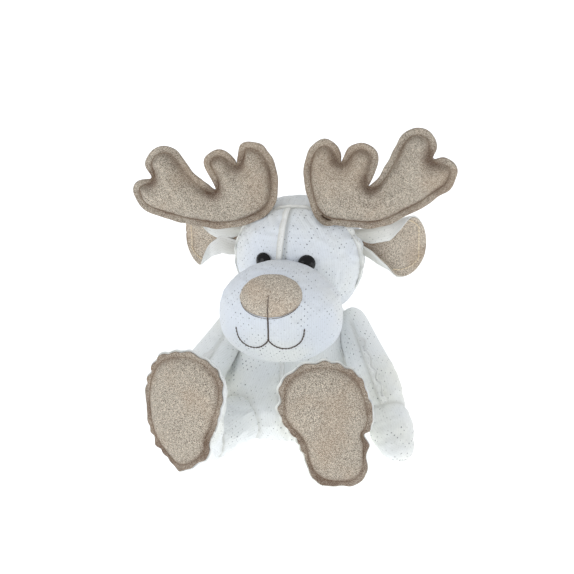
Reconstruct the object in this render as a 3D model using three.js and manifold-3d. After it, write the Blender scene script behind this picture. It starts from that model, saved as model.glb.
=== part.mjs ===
// A stuffed deer, sitting with its legs in front of it, made as it is sewn: covers of
// white jersey over loose filling, antlers, ears, nose and soles of glitter cloth, and
// two safety eyes held by washers inside the head.
//
// Millimetres, +Z up. The deer looks along -Y and its left side is on +X. The origin is
// the middle of its flat seat, on the surface that it sits on.
import * as THREE from "three";
import { mergeVertices } from "three/addons/utils/BufferGeometryUtils.js";
import Module from "manifold-3d";

const wasm = await Module();
wasm.setup();

// Cloth and sewing
const cloth = 1.2; // one layer of cloth with its backing
const gap = 0.3; // clearance between pieces that lie against each other
const swingGap = 0.6; // clearance where a limb swings past what carries it
const allowance = 4.6; // raw edge left outside a seam
const flatDepth = 0.5; // how deep a soft form is pressed flat where it rests
const weld = 1e-4; // points nearer than this are one point

// Torso
const torsoHeight = 86;
const torsoHalfWidth = 47;
const torsoHalfDepth = 43;
const torsoSeamY = -6; // the side seams, in front of the middle
const bagHalfWidth = 33;
const bagHalfDepth = 29;
const bagHeight = 16;

// Neck: the filling goes up through it into the head
const neckX = 4;
const neckRadius = 18;
const neckRise = 13;

// Head
const headHalfWidth = 45;
const headHalfDepth = 38;
const headHeight = 80;
const headSunk = 4; // how far the head's round bottom would reach into the torso
const headRoll = 1; // degrees that it leans to its right
const headSeamY = 4; // the seam over the head from ear to ear
const headTurn = 25; // degrees that it turns to each side

const faceX = -2.5; // the face is a little to the right of the head's middle

// Muzzle
const muzzleHalfWidth = 41.5;
const muzzleFront = 37;
const muzzleBack = 27;
const muzzleHeight = 68;
const muzzleY = -50;
const muzzleBelow = 25; // how far it hangs below the neck
const noseHalfWidth = 20.5;
const noseHalfHeight = 11.5;
const noseZ = 27; // above the neck
const threadRadius = 0.5;
const mouthTop = 14; // the line under the nose, from here
const mouthFork = 2; // down to here, where it splits in two
const mouthHalfWidth = 23;
const mouthDip = 6.5; // how far each half hangs below the fork
const mouthRise = 6; // and how far its end climbs above it

// Eyes
const eyeRadius = 6;
const eyeDome = 3.8;
const eyeX = 15;
const eyeZ = 38.5; // above the neck
const shankRadius = 2;
const shankLength = 13;
const washerRadius = 7;
const washerThickness = 1.6;

// Antlers
const antlerInner = 10; // from the head's middle to the antler's inner edge
const antlerWidth = 103;
const antlerHeight = 62;
const antlerBottom = 59.5; // above the neck
const antlerX = 2.5; // both sit a little to the head's left
const antlerY = -20;
const antlerPuff = 6; // half the thickness of the filling
const antlerRound = 4; // width of its rounded edge
const antlerLean = 7; // degrees that the left one points up and the right one down
const antlerFootX = 28; // middle of the foot, where it hinges
const antlerFootZ = 3; // above its lower edge
const antlerForward = 20; // degrees that it flops forward
const antlerBackward = 6; // and backward

// Ears
const earX = 41;
const earY = 1;
const earZ = 44.5; // above the neck
const earLength = 47;
const earHalfWidth = 25; // measured round the cup
const earSweep = 15; // degrees backwards
const earRaise = 8; // degrees that the ear flops up
const earDrop = 25; // and down

// Arms
const shoulderX = 40;
const shoulderBelow = 11; // below the neck
const armLength = 116;
const armRoot = 9; // how far the arm would reach into the torso
const armHalfWidth = 15;
const armHalfDepth = 12;
const wristAt = 72; // from the shoulder to the wrist seam
const armDrop = 35; // degrees below level
const armOut = { left: 32, right: 20 }; // degrees outwards from straight ahead
const armLiftOut = 80; // the way that a lifted arm points, in the same degrees
const armLift = 45; // degrees that it lifts

// Legs
const hipX = 20;
const hipY = -38;
const legRadius = 17;
const legRoot = 14; // how far the leg would reach into the torso
const legSplay = { left: 22, right: 19 }; // degrees outwards
const ankleAt = 62; // from the hip to the ankle seam
const soleAt = 86; // from the hip to the sole
const soleHalfWidth = 30;
const soleHeight = 80;
const soleDome = 5;
const eggShare = 0.2; // how much wider the toes are than the middle
const legLift = 20; // degrees up and down
const footRoll = { left: 13, right: 0 }; // degrees that the toes lean inwards

const hipZ = legRadius - flatDepth;
const neckZ = torsoHeight;
const shoulderZ = neckZ - shoulderBelow;
const radians = THREE.MathUtils.degToRad;
const V = (x, y, z) => new THREE.Vector3(x, y, z);
const signs = { left: 1, right: -1 };

// Materials
const look = (color, roughness) =>
  new THREE.MeshStandardMaterial({ color, roughness, metalness: 0 });
const jersey = look(0xe6e8ea, 0.9);
const glitter = look(0xaea192, 0.6);
const gloss = look(0x0c0d10, 0.12);
const fibre = look(0xf7f7f4, 1);
const pellets = look(0xdcdcd2, 0.8);
const thread = look(0x6b625c, 0.8);
const plastic = look(0xd9d9d6, 0.5);

// Solids

// A closed skin over rings of points that follow each other. Each end is a single point,
// or, where `looped` is set, the last ring joins the first.
function skin(rings, looped = false) {
  const sides = Math.max(...rings.map((ring) => ring.length));
  const start = [];
  let next = 0;
  for (const ring of rings) {
    start.push(next);
    next += ring.length;
  }
  const faces = [];
  for (let i = 0; i < (looped ? rings.length : rings.length - 1); i++) {
    const j = (i + 1) % rings.length;
    for (let k = 0; k < sides; k++) {
      const l = (k + 1) % sides;
      const [a, b] = [start[i] + k, start[i] + l];
      const [c, d] = [start[j] + k, start[j] + l];
      if (rings[i].length === 1) faces.push(start[i], d, c);
      else if (rings[j].length === 1) faces.push(a, b, start[j]);
      else faces.push(a, b, d, a, d, c);
    }
  }
  const geometry = new THREE.BufferGeometry().setFromPoints(rings.flat());
  geometry.setIndex(faces);
  return facingOut(geometry);
}

function facingOut(geometry) {
  const { position } = geometry.attributes;
  const index = geometry.index.array;
  const [a, b, c] = [V(), V(), V()];
  let volume = 0;
  for (let i = 0; i < index.length; i += 3) {
    a.fromBufferAttribute(position, index[i]);
    b.fromBufferAttribute(position, index[i + 1]);
    c.fromBufferAttribute(position, index[i + 2]);
    volume += a.dot(b.cross(c));
  }
  if (volume < 0) {
    for (let i = 0; i < index.length; i += 3) {
      [index[i + 1], index[i + 2]] = [index[i + 2], index[i + 1]];
    }
  }
  return geometry;
}

function solid(geometry) {
  const bare = geometry.clone();
  bare.deleteAttribute("normal");
  bare.deleteAttribute("uv");
  const merged = facingOut(mergeVertices(bare, weld));
  const mesh = new wasm.Mesh({
    numProp: 3,
    vertProperties: merged.attributes.position.array,
    triVerts: new Uint32Array(merged.index.array),
  });
  return new wasm.Manifold(mesh);
}

// The largest body of a solid, without the crumbs that a cut can leave.
function geometryOf(manifold) {
  const bodies = manifold.decompose().sort((a, b) => b.volume() - a.volume());
  const mesh = bodies[0].getMesh();
  const geometry = new THREE.BufferGeometry();
  geometry.setAttribute("position", new THREE.BufferAttribute(mesh.vertProperties, 3));
  geometry.setIndex(new THREE.BufferAttribute(mesh.triVerts, 1));
  return geometry;
}

const combine = (how) => (first, ...others) =>
  geometryOf(others.map(solid).reduce((made, other) => made[how](other), solid(first)));
const join = combine("add");
const cut = combine("subtract");
const keep = combine("intersect");

const placed = (geometry, matrix) => geometry.clone().applyMatrix4(matrix);
const block = (low, high) =>
  new THREE.BoxGeometry(high.x - low.x, high.y - low.y, high.z - low.z).translate(
    (low.x + high.x) / 2,
    (low.y + high.y) / 2,
    (low.z + high.z) / 2,
  );

const all = 2 * (torsoHeight + headHeight + antlerWidth);
const beyondX = (x, sign) =>
  sign > 0 ? block(V(x, -all, -all), V(all, all, all)) : block(V(-all, -all, -all), V(x, all, all));
const beyondY = (y, sign) =>
  sign > 0 ? block(V(-all, y, -all), V(all, all, all)) : block(V(-all, -all, -all), V(all, y, all));
const beyondZ = (z, sign) =>
  sign > 0 ? block(V(-all, -all, z), V(all, all, all)) : block(V(-all, -all, -all), V(all, all, z));

// A closed row of points round the Z axis, egg-shaped where `egg` is set.
function ring({ count, x, up, down = up, egg = 0, y = 0, z }) {
  return Array.from({ length: count }, (_, k) => {
    const angle = ((k + 0.5) / count) * 2 * Math.PI;
    const rise = Math.sin(angle);
    const wide = x * Math.cos(angle) * (1 + egg * rise);
    return V(wide, y + rise * (rise > 0 ? up : down), z);
  });
}

// A smooth run through a table of shares, read at `count` even steps.
function smooth(shares, count) {
  const columns = shares[0].map((_, column) => {
    const values = shares.map((row) => V(row[column], 0, 0));
    return new THREE.CatmullRomCurve3(values);
  });
  return Array.from({ length: count }, (_, i) =>
    columns.map((curve) => curve.getPoint(i / (count - 1)).x),
  );
}

const leastShare = 0.02; // of a form's width, where its end closes

// A stuffed form along +Z, from `from` to `to`. Each row of its shares holds the place
// along it, its width, its depth and how far it leans. It is `inset` smaller all round.
function stuffed({ x, up, down = up, from = 0, to, shares, count, rings }, inset = 0) {
  const middle = (from + to) / 2;
  const reach = (to - from) / 2 - inset;
  const rows = smooth(shares, rings).map(([at, wide, deep, lean]) => ({
    count,
    x: Math.max(wide * x - inset, leastShare * x),
    up: Math.max(deep * up - inset, leastShare * up),
    down: Math.max(deep * down - inset, leastShare * down),
    y: lean * down,
    z: middle + (2 * at - 1) * reach,
  }));
  const ends = [rows[0], rows.at(-1)].map((row) => [V(0, row.y, row.z)]);
  return skin([ends[0], ...rows.map(ring), ends[1]]);
}

// The geometry turned about an axis through a point.
function turned(geometry, { pivot, axis }, degrees) {
  const turn = new THREE.Matrix4()
    .makeTranslation(pivot.x, pivot.y, pivot.z)
    .multiply(new THREE.Matrix4().makeRotationAxis(axis, radians(degrees)))
    .multiply(new THREE.Matrix4().makeTranslation(-pivot.x, -pivot.y, -pivot.z));
  return placed(geometry, turn);
}

// What the carrier sweeps, seen from a limb that swings on the hinge.
const sweep = (carrier, hinge) =>
  join(...hinge.angles.map((angle) => turned(carrier, hinge, -angle)));

// A frame whose +Z points along a limb and whose +Y is as near to `up` as it can be.
function frame(place, along, up) {
  const z = along.clone().normalize();
  const x = up.clone().cross(z).normalize();
  const y = z.clone().cross(x);
  return new THREE.Matrix4().makeBasis(x, y, z).setPosition(place);
}

const deer = new THREE.Group();

function add(name, geometry, material) {
  const mesh = new THREE.Mesh(geometry, material);
  mesh.name = name;
  deer.add(mesh);
}

// Forms of the torso and the head

const torsoShares = [
  [0, 0.66, 0.66, 0],
  [0.06, 0.88, 0.88, 0],
  [0.2, 0.98, 0.99, 0],
  [0.38, 1, 1, 0],
  [0.55, 0.97, 0.96, 0],
  [0.72, 0.9, 0.88, 0],
  [0.88, 0.78, 0.76, 0],
  [1, 0.62, 0.62, 0],
];
const torsoSize = {
  x: torsoHalfWidth,
  up: torsoHalfDepth,
  from: -flatDepth,
  to: torsoHeight,
  shares: torsoShares,
};
const torsoOutside = (inset) => stuffed({ ...torsoSize, count: 26, rings: 12 }, inset);
const torsoInside = (inset) => stuffed({ ...torsoSize, count: 16, rings: 7 }, inset);

const headShares = [
  [0, 0.5, 0.5, 0],
  [0.08, 0.72, 0.74, 0],
  [0.25, 0.93, 0.95, 0],
  [0.42, 1, 1, 0],
  [0.6, 0.98, 0.98, 0],
  [0.76, 0.87, 0.88, 0],
  [0.88, 0.68, 0.7, 0],
  [0.96, 0.44, 0.46, 0],
  [1, 0.2, 0.2, 0],
];
const headFrame = new THREE.Matrix4()
  .makeTranslation(neckX, 0, neckZ)
  .multiply(new THREE.Matrix4().makeRotationY(-radians(headRoll)));
const headSize = {
  x: headHalfWidth,
  up: headHalfDepth,
  from: -headSunk,
  to: headHeight - headSunk,
  shares: headShares,
};
const headForm = (inset, count, rings) =>
  placed(stuffed({ ...headSize, count, rings }, inset), headFrame);
const headOutside = (inset) => headForm(inset, 26, 12);
const headInside = (inset) => headForm(inset, 16, 7);

const muzzleShares = [
  [0, 0.3, 0.3, 0],
  [0.06, 0.56, 0.56, 0],
  [0.2, 0.86, 0.86, 0],
  [0.4, 1, 1, 0],
  [0.6, 0.99, 1, 0],
  [0.78, 0.82, 0.86, 0],
  [0.92, 0.52, 0.56, 0],
  [1, 0.22, 0.24, 0],
];
const muzzleSize = {
  x: muzzleHalfWidth,
  up: muzzleBack,
  down: muzzleFront,
  from: -muzzleBelow,
  to: muzzleHeight - muzzleBelow,
  shares: muzzleShares,
};
const muzzleForm = (inset, count, rings) =>
  placed(
    stuffed({ ...muzzleSize, count, rings }, inset).translate(faceX, muzzleY, 0),
    headFrame,
  );
const muzzleOutside = (inset) => muzzleForm(inset, 24, 11);
const muzzleInside = (inset) => muzzleForm(inset, 14, 7);

// Where each limb hinges, and the angles at which it has to clear its carrier.
const neck = {
  pivot: V(neckX, 0, neckZ),
  axis: V(0, 0, 1),
  angles: [-headTurn, 0, headTurn],
};

const level = (degrees, sign) => V(sign * Math.sin(radians(degrees)), -Math.cos(radians(degrees)), 0);

function shoulder(name) {
  const sign = signs[name];
  const rest = level(armOut[name], sign).multiplyScalar(Math.cos(radians(armDrop)));
  rest.z = -Math.sin(radians(armDrop));
  const lifted = level(armLiftOut, sign);
  return {
    pivot: V(sign * shoulderX, 0, shoulderZ),
    along: rest,
    axis: rest.clone().cross(lifted).normalize(),
    angles: [0, armLift / 2, armLift],
  };
}

function hip(name) {
  const along = level(legSplay[name], signs[name]);
  return {
    pivot: V(signs[name] * hipX, hipY, hipZ),
    along,
    axis: along.clone().cross(V(0, 0, 1)).normalize(),
    angles: [-legLift, 0, legLift],
  };
}

function earHinge(name) {
  const sign = signs[name];
  const along = V(sign * Math.cos(radians(earSweep)), Math.sin(radians(earSweep)), 0);
  const facing = V(sign * Math.sin(radians(earSweep)), -Math.cos(radians(earSweep)), 0);
  const inHead = frame(V(sign * earX, earY, earZ), along, facing);
  const inDeer = headFrame.clone().multiply(inHead);
  return {
    frame: inDeer,
    pivot: V().setFromMatrixPosition(inDeer),
    axis: V(0, -1, 0),
    angles: [-earDrop * sign, 0, earRaise * sign],
  };
}

function antlerHinge(name) {
  const sign = signs[name];
  const foot = V(antlerX + sign * antlerFootX, antlerY, antlerBottom + antlerFootZ);
  const inDeer = headFrame
    .clone()
    .multiply(frame(foot, V(0, -1, 0), V(0, 0, 1)))
    .multiply(new THREE.Matrix4().makeRotationZ(radians(antlerLean)));
  return {
    frame: inDeer,
    pivot: V().setFromMatrixPosition(inDeer),
    axis: V(1, 0, 0),
    angles: [-antlerBackward, 0, antlerForward],
  };
}

// Torso: a back panel and two front panels, with loose filling over a bag of pellets.
// The filling goes on through the neck as a round stump that the head turns on.

const torsoSpace = torsoOutside(-gap);
const torsoSwing = torsoOutside(-swingGap);

const neckStump = (inset) =>
  new THREE.LatheGeometry(
    [
      new THREE.Vector2(0, -neckRise + inset),
      new THREE.Vector2(neckRadius - inset, -neckRise + inset),
      new THREE.Vector2(neckRadius - inset, neckRise / 2),
      new THREE.Vector2((neckRadius - inset) / 2, neckRise - inset),
      new THREE.Vector2(0, neckRise - inset),
    ],
    20,
  )
    .rotateX(Math.PI / 2)
    .translate(neckX, 0, neckZ);

const bagShares = [
  [0, 0.7, 0.7, 0],
  [0.4, 1, 1, 0],
  [0.8, 0.8, 0.8, 0],
  [1, 0.4, 0.4, 0],
];
const pelletBag = (inset) =>
  stuffed(
    {
      x: bagHalfWidth,
      up: bagHalfDepth,
      from: cloth + gap,
      to: cloth + gap + bagHeight,
      shares: bagShares,
      count: 18,
      rings: 6,
    },
    inset,
  );

function buildTorso() {
  const shell = cut(torsoOutside(0), torsoInside(cloth), neckStump(-gap), beyondZ(0, -1));
  const half = gap / 2;
  add("body_back", keep(shell, beyondY(torsoSeamY + half, 1)), jersey);
  for (const [name, sign] of Object.entries(signs)) {
    const front = keep(shell, beyondY(torsoSeamY - half, -1), beyondX(sign * half, sign));
    add(`body_front_${name}`, front, jersey);
  }
  const lining = beyondZ(cloth + gap, -1);
  const room = cut(torsoInside(cloth + gap), beyondZ(neckZ - cloth - gap, 1));
  add("body_stuffing", cut(join(room, neckStump(0)), pelletBag(-gap), lining), fibre);
  add("pellet_bag", cut(pelletBag(0), beyondZ(cloth + gap, -1)), pellets);
}

// Head: a back panel and two front panels that meet in a seam down the forehead

const headCut = beyondZ(neckZ + gap, -1);

// The point where a line from the front first meets a form, and the way it faces there,
// for a place given across and above the neck in the head's own frame.
function onFront(form, x, z) {
  const mesh = new THREE.Mesh(form, new THREE.MeshBasicMaterial({ side: THREE.DoubleSide }));
  const from = V(x, -all, z).applyMatrix4(headFrame);
  const hit = new THREE.Raycaster(from, V(0, 1, 0)).intersectObject(mesh)[0];
  return { point: hit.point, facing: hit.face.normal.clone() };
}

// The eye's rim and dome, as shares of its radius and of the dome's height.
const eyeShares = [
  [1, 0.12],
  [0.8, 0.66],
  [0.42, 0.93],
];

// The eye turns round the Z axis of its own frame, which points outwards from the cloth
// that it sits on, and the washer round the same axis, from its own inner face.
const eyeShape = (grow) =>
  new THREE.LatheGeometry(
    [
      new THREE.Vector2(0, -shankLength - grow),
      new THREE.Vector2(shankRadius + grow, -shankLength - grow),
      new THREE.Vector2(shankRadius + grow, -grow),
      new THREE.Vector2(eyeRadius + grow, -grow),
      ...eyeShares.map(
        ([wide, high]) => new THREE.Vector2(wide * (eyeRadius + grow), high * eyeDome + grow),
      ),
      new THREE.Vector2(0, eyeDome + grow),
    ],
    16,
  ).rotateX(Math.PI / 2);

const washerShape = () => {
  const bore = shankRadius + gap;
  return new THREE.LatheGeometry(
    [
      new THREE.Vector2(bore, 0),
      new THREE.Vector2(washerRadius, 0),
      new THREE.Vector2(washerRadius, washerThickness),
      new THREE.Vector2(bore, washerThickness),
      new THREE.Vector2(bore, 0),
    ],
    12,
  ).rotateX(Math.PI / 2);
};
const upright = (radius, low, high) =>
  new THREE.CylinderGeometry(radius, radius, high - low, 12)
    .rotateX(Math.PI / 2)
    .translate(0, 0, (low + high) / 2);
const shankRoom = () => upright(shankRadius + gap, -shankLength - gap, 0);
const washerRoom = () => upright(washerRadius + gap, -gap, washerThickness + gap);

const eyeTurnShare = 0.9; // how far the eye turns out to the side with the cloth
function eyeFrame(sign) {
  const { point, facing } = onFront(headOutside(0), faceX + sign * eyeX, eyeZ);
  facing.x *= eyeTurnShare;
  const place = point.addScaledVector(facing.normalize(), swingGap);
  return frame(place, facing, V(0, 0, 1));
}

// The eye's frame moved back until the washer's whole rim lies inside the cloth.
function washerFrame(at) {
  const wall = new THREE.Mesh(headInside(cloth), new THREE.MeshBasicMaterial());
  const inward = V().setFromMatrixColumn(at, 2).negate();
  const reach = washerRadius + gap;
  const depths = ring({ count: 12, x: reach, up: reach, z: eyeRadius }).map((p) => {
    const [hit] = new THREE.Raycaster(p.applyMatrix4(at), inward).intersectObject(wall);
    return hit.distance - eyeRadius;
  });
  const back = Math.max(...depths) + gap + washerThickness;
  return at.clone().multiply(new THREE.Matrix4().makeTranslation(0, 0, -back));
}

function buildHead(eyes) {
  const shankRooms = eyes.map((at) => placed(shankRoom(), at));
  const washerRooms = eyes.map((at) => placed(washerRoom(), washerFrame(at)));
  const shell = cut(headOutside(0), headInside(cloth), headCut, ...shankRooms);
  const half = gap / 2;
  add("head_back", keep(shell, beyondY(headSeamY + half, 1)), jersey);
  const seam = (sign) => placed(beyondX(faceX + sign * half, sign), headFrame);
  for (const [name, sign] of Object.entries(signs)) {
    const front = keep(shell, beyondY(headSeamY - half, -1), seam(sign));
    add(`head_front_${name}`, front, jersey);
  }
  const room = cut(headInside(cloth + gap), beyondZ(neckZ + 2 * gap, -1), neckStump(-2 * gap));
  add("head_stuffing", cut(room, ...shankRooms, ...washerRooms), fibre);
}

function buildEyes(eyes) {
  Object.keys(signs).forEach((name, i) => {
    add(`eye_${name}`, placed(eyeShape(0), eyes[i]), gloss);
    add(`eye_washer_${name}`, placed(washerShape(), washerFrame(eyes[i])), plastic);
  });
}

// Muzzle: a stuffed egg sewn to the front of the head, with the nose and the mouth on it

function tube(points, radius, steps) {
  const section = new THREE.Shape(
    Array.from({ length: 5 }, (_, k) => {
      const angle = (k / 5) * 2 * Math.PI;
      return new THREE.Vector2(radius * Math.cos(angle), radius * Math.sin(angle));
    }),
  );
  const extrudePath = new THREE.CatmullRomCurve3(points);
  return new THREE.ExtrudeGeometry(section, { steps, extrudePath, bevelEnabled: false });
}

function mouthLine(places, steps) {
  const form = muzzleOutside(0);
  const points = places.map(([x, z]) => {
    const { point, facing } = onFront(form, faceX + x, z);
    return point.addScaledVector(facing, threadRadius + 2 * gap);
  });
  return tube(points, threadRadius, steps);
}

// Half of the mouth as shares of its width and of its dip below the fork.
const mouthShares = [
  [0, 0],
  [0.16, 0.62],
  [0.42, 1],
  [0.72, 0.62],
  [0.92, -0.24],
];

function buildMuzzle(eyes) {
  const eyeRooms = eyes.map((at) => placed(eyeShape(swingGap), at));
  const away = [headOutside(-gap), sweep(torsoSwing, neck), ...eyeRooms];
  add("muzzle_cover", cut(muzzleOutside(0), muzzleInside(cloth), ...away), jersey);
  add("muzzle_stuffing", cut(muzzleInside(cloth + gap), ...away), fibre);

  const oval = new THREE.CylinderGeometry(1, 1, all, 20)
    .scale(noseHalfWidth, 1, noseHalfHeight)
    .translate(faceX, muzzleY - all / 2, noseZ);
  const front = keep(muzzleOutside(-gap - cloth), placed(oval, headFrame));
  add("nose_patch", cut(front, muzzleOutside(-gap)), glitter);

  const down = mouthLine([[0, mouthTop], [0, (mouthTop + mouthFork) / 2], [0, mouthFork]], 3);
  const halves = Object.values(signs).map((sign) => {
    const places = mouthShares.map(([x, z]) => [
      sign * x * mouthHalfWidth,
      mouthFork - z * mouthDip,
    ]);
    places.push([sign * mouthHalfWidth, mouthFork + mouthRise]);
    return mouthLine(places, 9);
  });
  add("mouth_thread", join(down, ...halves), thread);
}

// Antlers: two panels with a raw edge left outside their seam, and filling between them

// The outline of the left antler, inner edge first and then round its four tips, as
// shares of its width and height.
const antlerShares = [
  [0.097, 0.08],
  [0.039, 0.19],
  [0.01, 0.34],
  [0, 0.53],
  [0.02, 0.73],
  [0.068, 0.89],
  [0.146, 0.98],
  [0.223, 0.92],
  [0.255, 0.82],
  [0.265, 0.69],
  [0.291, 0.82],
  [0.359, 0.9],
  [0.427, 0.88],
  [0.476, 0.77],
  [0.466, 0.6],
  [0.437, 0.44],
  [0.515, 0.54],
  [0.592, 0.73],
  [0.66, 0.92],
  [0.757, 1],
  [0.845, 0.95],
  [0.885, 0.82],
  [0.862, 0.67],
  [0.932, 0.645],
  [0.995, 0.55],
  [0.985, 0.4],
  [0.913, 0.27],
  [0.796, 0.16],
  [0.67, 0.08],
  [0.534, 0.024],
  [0.398, 0],
  [0.252, 0.024],
  [0.165, 0.04],
];

// An outline moved inwards along the mean of the directions of its two edges.
function drawnIn(points, by) {
  const count = points.length;
  const area = THREE.ShapeUtils.area(points);
  return points.map((p, k) => {
    const before = points[(k + count - 1) % count];
    const after = points[(k + 1) % count];
    const one = p.clone().sub(before).normalize();
    const two = after.clone().sub(p).normalize();
    const mean = one.add(two).normalize();
    const inward = new THREE.Vector2(-mean.y, mean.x).multiplyScalar(Math.sign(area));
    return p.clone().addScaledVector(inward, by);
  });
}

function antlerOutline(sign) {
  return antlerShares.map(
    ([x, y]) =>
      new THREE.Vector2(
        sign * (antlerInner + x * antlerWidth - antlerFootX),
        y * antlerHeight - antlerFootZ,
      ),
  );
}

// The puffed shape inside the seam, `grow` larger all round.
function pillow(outline, grow, bevelSegments) {
  const high = antlerPuff + grow;
  const round = antlerRound + grow;
  const flat = high / 4;
  return new THREE.ExtrudeGeometry(new THREE.Shape(drawnIn(outline, allowance - grow)), {
    depth: 2 * flat,
    bevelThickness: high - flat,
    bevelSize: round,
    bevelOffset: -round,
    bevelSegments,
  }).translate(0, 0, -flat);
}

function plate(outline, low, high) {
  const shape = new THREE.Shape(outline);
  const depth = high - low;
  return new THREE.ExtrudeGeometry(shape, { depth, bevelEnabled: false }).translate(0, 0, low);
}

function buildAntler(name) {
  const hinge = antlerHinge(name);
  const outline = antlerOutline(signs[name]);
  const away = sweep(headOutside(-swingGap), hinge);
  const [outer, inner] = [pillow(outline, cloth, 2), pillow(outline, 0, 1)];
  const half = gap / 2;
  const faces = {
    front: [plate(outline, half, half + cloth), beyondZ(half, 1)],
    back: [plate(outline, -half - cloth, -half), beyondZ(-half, -1)],
  };
  for (const [face, [flange, side]] of Object.entries(faces)) {
    const panel = cut(join(flange, keep(outer, side)), inner);
    add(`antler_${face}_${name}`, cut(placed(panel, hinge.frame), away), glitter);
  }
  const filling = placed(pillow(outline, -gap, 1), hinge.frame);
  add(`antler_stuffing_${name}`, cut(filling, away), fibre);
}

// Ears: a glitter lining and a jersey backing, rolled at the root and cupped towards
// the front. Each row of shares holds the place along the ear and its width.
const earShares = [
  [0, 0.34],
  [0.12, 0.5],
  [0.3, 0.82],
  [0.52, 1],
  [0.72, 0.9],
  [0.88, 0.58],
  [1, 0.06],
];
const earBend = { root: 200, tip: 70 }; // degrees that the cup goes round

// One layer, from its far face to the face that lies against the other layer.
function earLayer(from, to) {
  const steps = 6;
  const rings = smooth(earShares, 8).map(([at, wide]) => {
    const bend = radians(THREE.MathUtils.lerp(earBend.root, earBend.tip, Math.sqrt(at)));
    const radius = (2 * wide * earHalfWidth) / bend;
    const arc = (offset) =>
      Array.from({ length: steps + 1 }, (_, k) => {
        const angle = (k / steps - 0.5) * bend;
        const reach = radius + offset;
        return V(reach * Math.sin(angle), radius - reach * Math.cos(angle), at * earLength);
      });
    return [...arc(from), ...arc(to).reverse()];
  });
  const middle = (level) =>
    level.reduce((sum, p) => sum.add(p), V(0, 0, 0)).divideScalar(level.length);
  return skin([[middle(rings[0])], ...rings, [middle(rings.at(-1))]]);
}

function buildEar(name) {
  const hinge = earHinge(name);
  const away = sweep(headOutside(-swingGap), hinge);
  const layers = {
    lining: [earLayer(-gap / 2 - cloth, -gap / 2), glitter],
    backing: [earLayer(gap / 2 + cloth, gap / 2), jersey],
  };
  for (const [layer, [form, material]] of Object.entries(layers)) {
    add(`ear_${layer}_${name}`, cut(placed(form, hinge.frame), away), material);
  }
}

// Arms: a sleeve and a hand that meet at the wrist seam, with one filling

const armShares = [
  [0, 0.6, 0.62, 0],
  [0.08, 0.74, 0.76, 0],
  [0.25, 0.86, 0.88, 0],
  [0.45, 0.96, 0.98, 0],
  [0.65, 0.93, 0.94, 0],
  [0.8, 1, 1, 0],
  [0.92, 0.8, 0.8, 0],
  [1, 0.3, 0.3, 0],
];
const armSize = {
  x: armHalfWidth,
  up: armHalfDepth,
  from: -armRoot,
  to: armLength,
  shares: armShares,
};

function buildArm(name) {
  const hinge = shoulder(name);
  const at = frame(hinge.pivot, hinge.along, V(0, 0, 1));
  const away = sweep(torsoSwing, hinge);
  const outside = stuffed({ ...armSize, count: 16, rings: 10 });
  const inside = stuffed({ ...armSize, count: 10, rings: 7 }, cloth);
  const filling = stuffed({ ...armSize, count: 10, rings: 7 }, cloth + gap);
  const half = gap / 2;
  const sleeve = cut(outside, inside, beyondZ(wristAt - half, 1));
  const hand = cut(outside, inside, beyondZ(wristAt + half, -1));
  add(`arm_cover_${name}`, cut(placed(sleeve, at), away), jersey);
  add(`hand_cover_${name}`, placed(hand, at), jersey);
  add(`arm_stuffing_${name}`, cut(placed(filling, at), away), fibre);
}

// Legs: a jersey leg and foot, and a domed glitter sole with a raw edge round it

const ankleShare = 0.94;
const legShares = [
  [0, ankleShare, ankleShare, 0],
  [0.2, 0.99, 0.99, 0],
  [0.5, 1, 1, 0],
  [1, ankleShare, ankleShare, 0],
];
const legSize = {
  x: legRadius,
  up: legRadius,
  from: -legRoot,
  to: ankleAt,
  shares: legShares,
};
const footSides = 20;

function soleRing(inset, z, shrink = 1) {
  const half = soleHeight / 2;
  return ring({
    count: footSides,
    x: (soleHalfWidth - inset) * shrink,
    up: (half - inset) * shrink,
    egg: eggShare,
    y: half - hipZ - flatDepth,
    z,
  });
}

const ankleRing = (inset) =>
  ring({
    count: footSides,
    x: ankleShare * legRadius - inset,
    up: ankleShare * legRadius - inset,
    z: ankleAt + gap,
  });

// How the foot widens from the ankle to the sole: the place and the share of the way.
const footShares = [
  [0.12, 0.3],
  [0.38, 0.72],
  [0.7, 0.96],
];

function footRings(inset) {
  const ankle = ankleRing(inset);
  const seam = soleRing(allowance + inset, soleAt);
  const middle = footShares.map(([along, wide]) =>
    ankle.map((p, k) => {
      const q = p.clone().lerp(seam[k], wide);
      q.z = THREE.MathUtils.lerp(p.z, seam[k].z, along);
      return q;
    }),
  );
  return [ankle, ...middle, seam];
}

function footUpper() {
  const front = soleAt + cloth;
  const flange = [soleRing(0, soleAt), soleRing(0, front), soleRing(allowance + cloth, front)];
  return skin([...footRings(0), ...flange, ...footRings(cloth).reverse()], true);
}

// The sole's dome: how wide it still is at a share of its height.
const domeShares = [
  [0.86, 0.5],
  [0.5, 0.92],
];

function sole() {
  const face = (at) => [
    soleRing(0, at),
    soleRing(allowance, at),
    ...domeShares.map(([wide, high]) => soleRing(allowance, at + soleDome * high, wide)),
  ];
  const back = face(soleAt + cloth + gap);
  const front = face(soleAt + 2 * cloth + gap);
  const tip = (level) => [V(0, soleHeight / 2 - hipZ - flatDepth, level.at(-1)[0].z)];
  return skin([tip(front), ...front.reverse(), ...back, tip(back)]);
}

function legFilling() {
  const inset = cloth + gap;
  const count = footSides;
  const start = -legRoot + inset;
  const leg = [start, legRoot].map((z) =>
    ring({ count, x: ankleShare * legRadius - inset, up: ankleShare * legRadius - inset, z }),
  );
  const foot = footRings(inset).slice(0, -1);
  const front = soleAt + cloth;
  const dome = domeShares.map(([wide, high]) =>
    soleRing(allowance + inset, front + (soleDome - gap) * high, wide),
  );
  const rim = soleRing(allowance + inset, front);
  const tip = [V(0, soleHeight / 2 - hipZ - flatDepth, dome.at(-1)[0].z)];
  return skin([[V(0, 0, start)], ...leg, ...foot, rim, ...dome, tip]);
}

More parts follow.
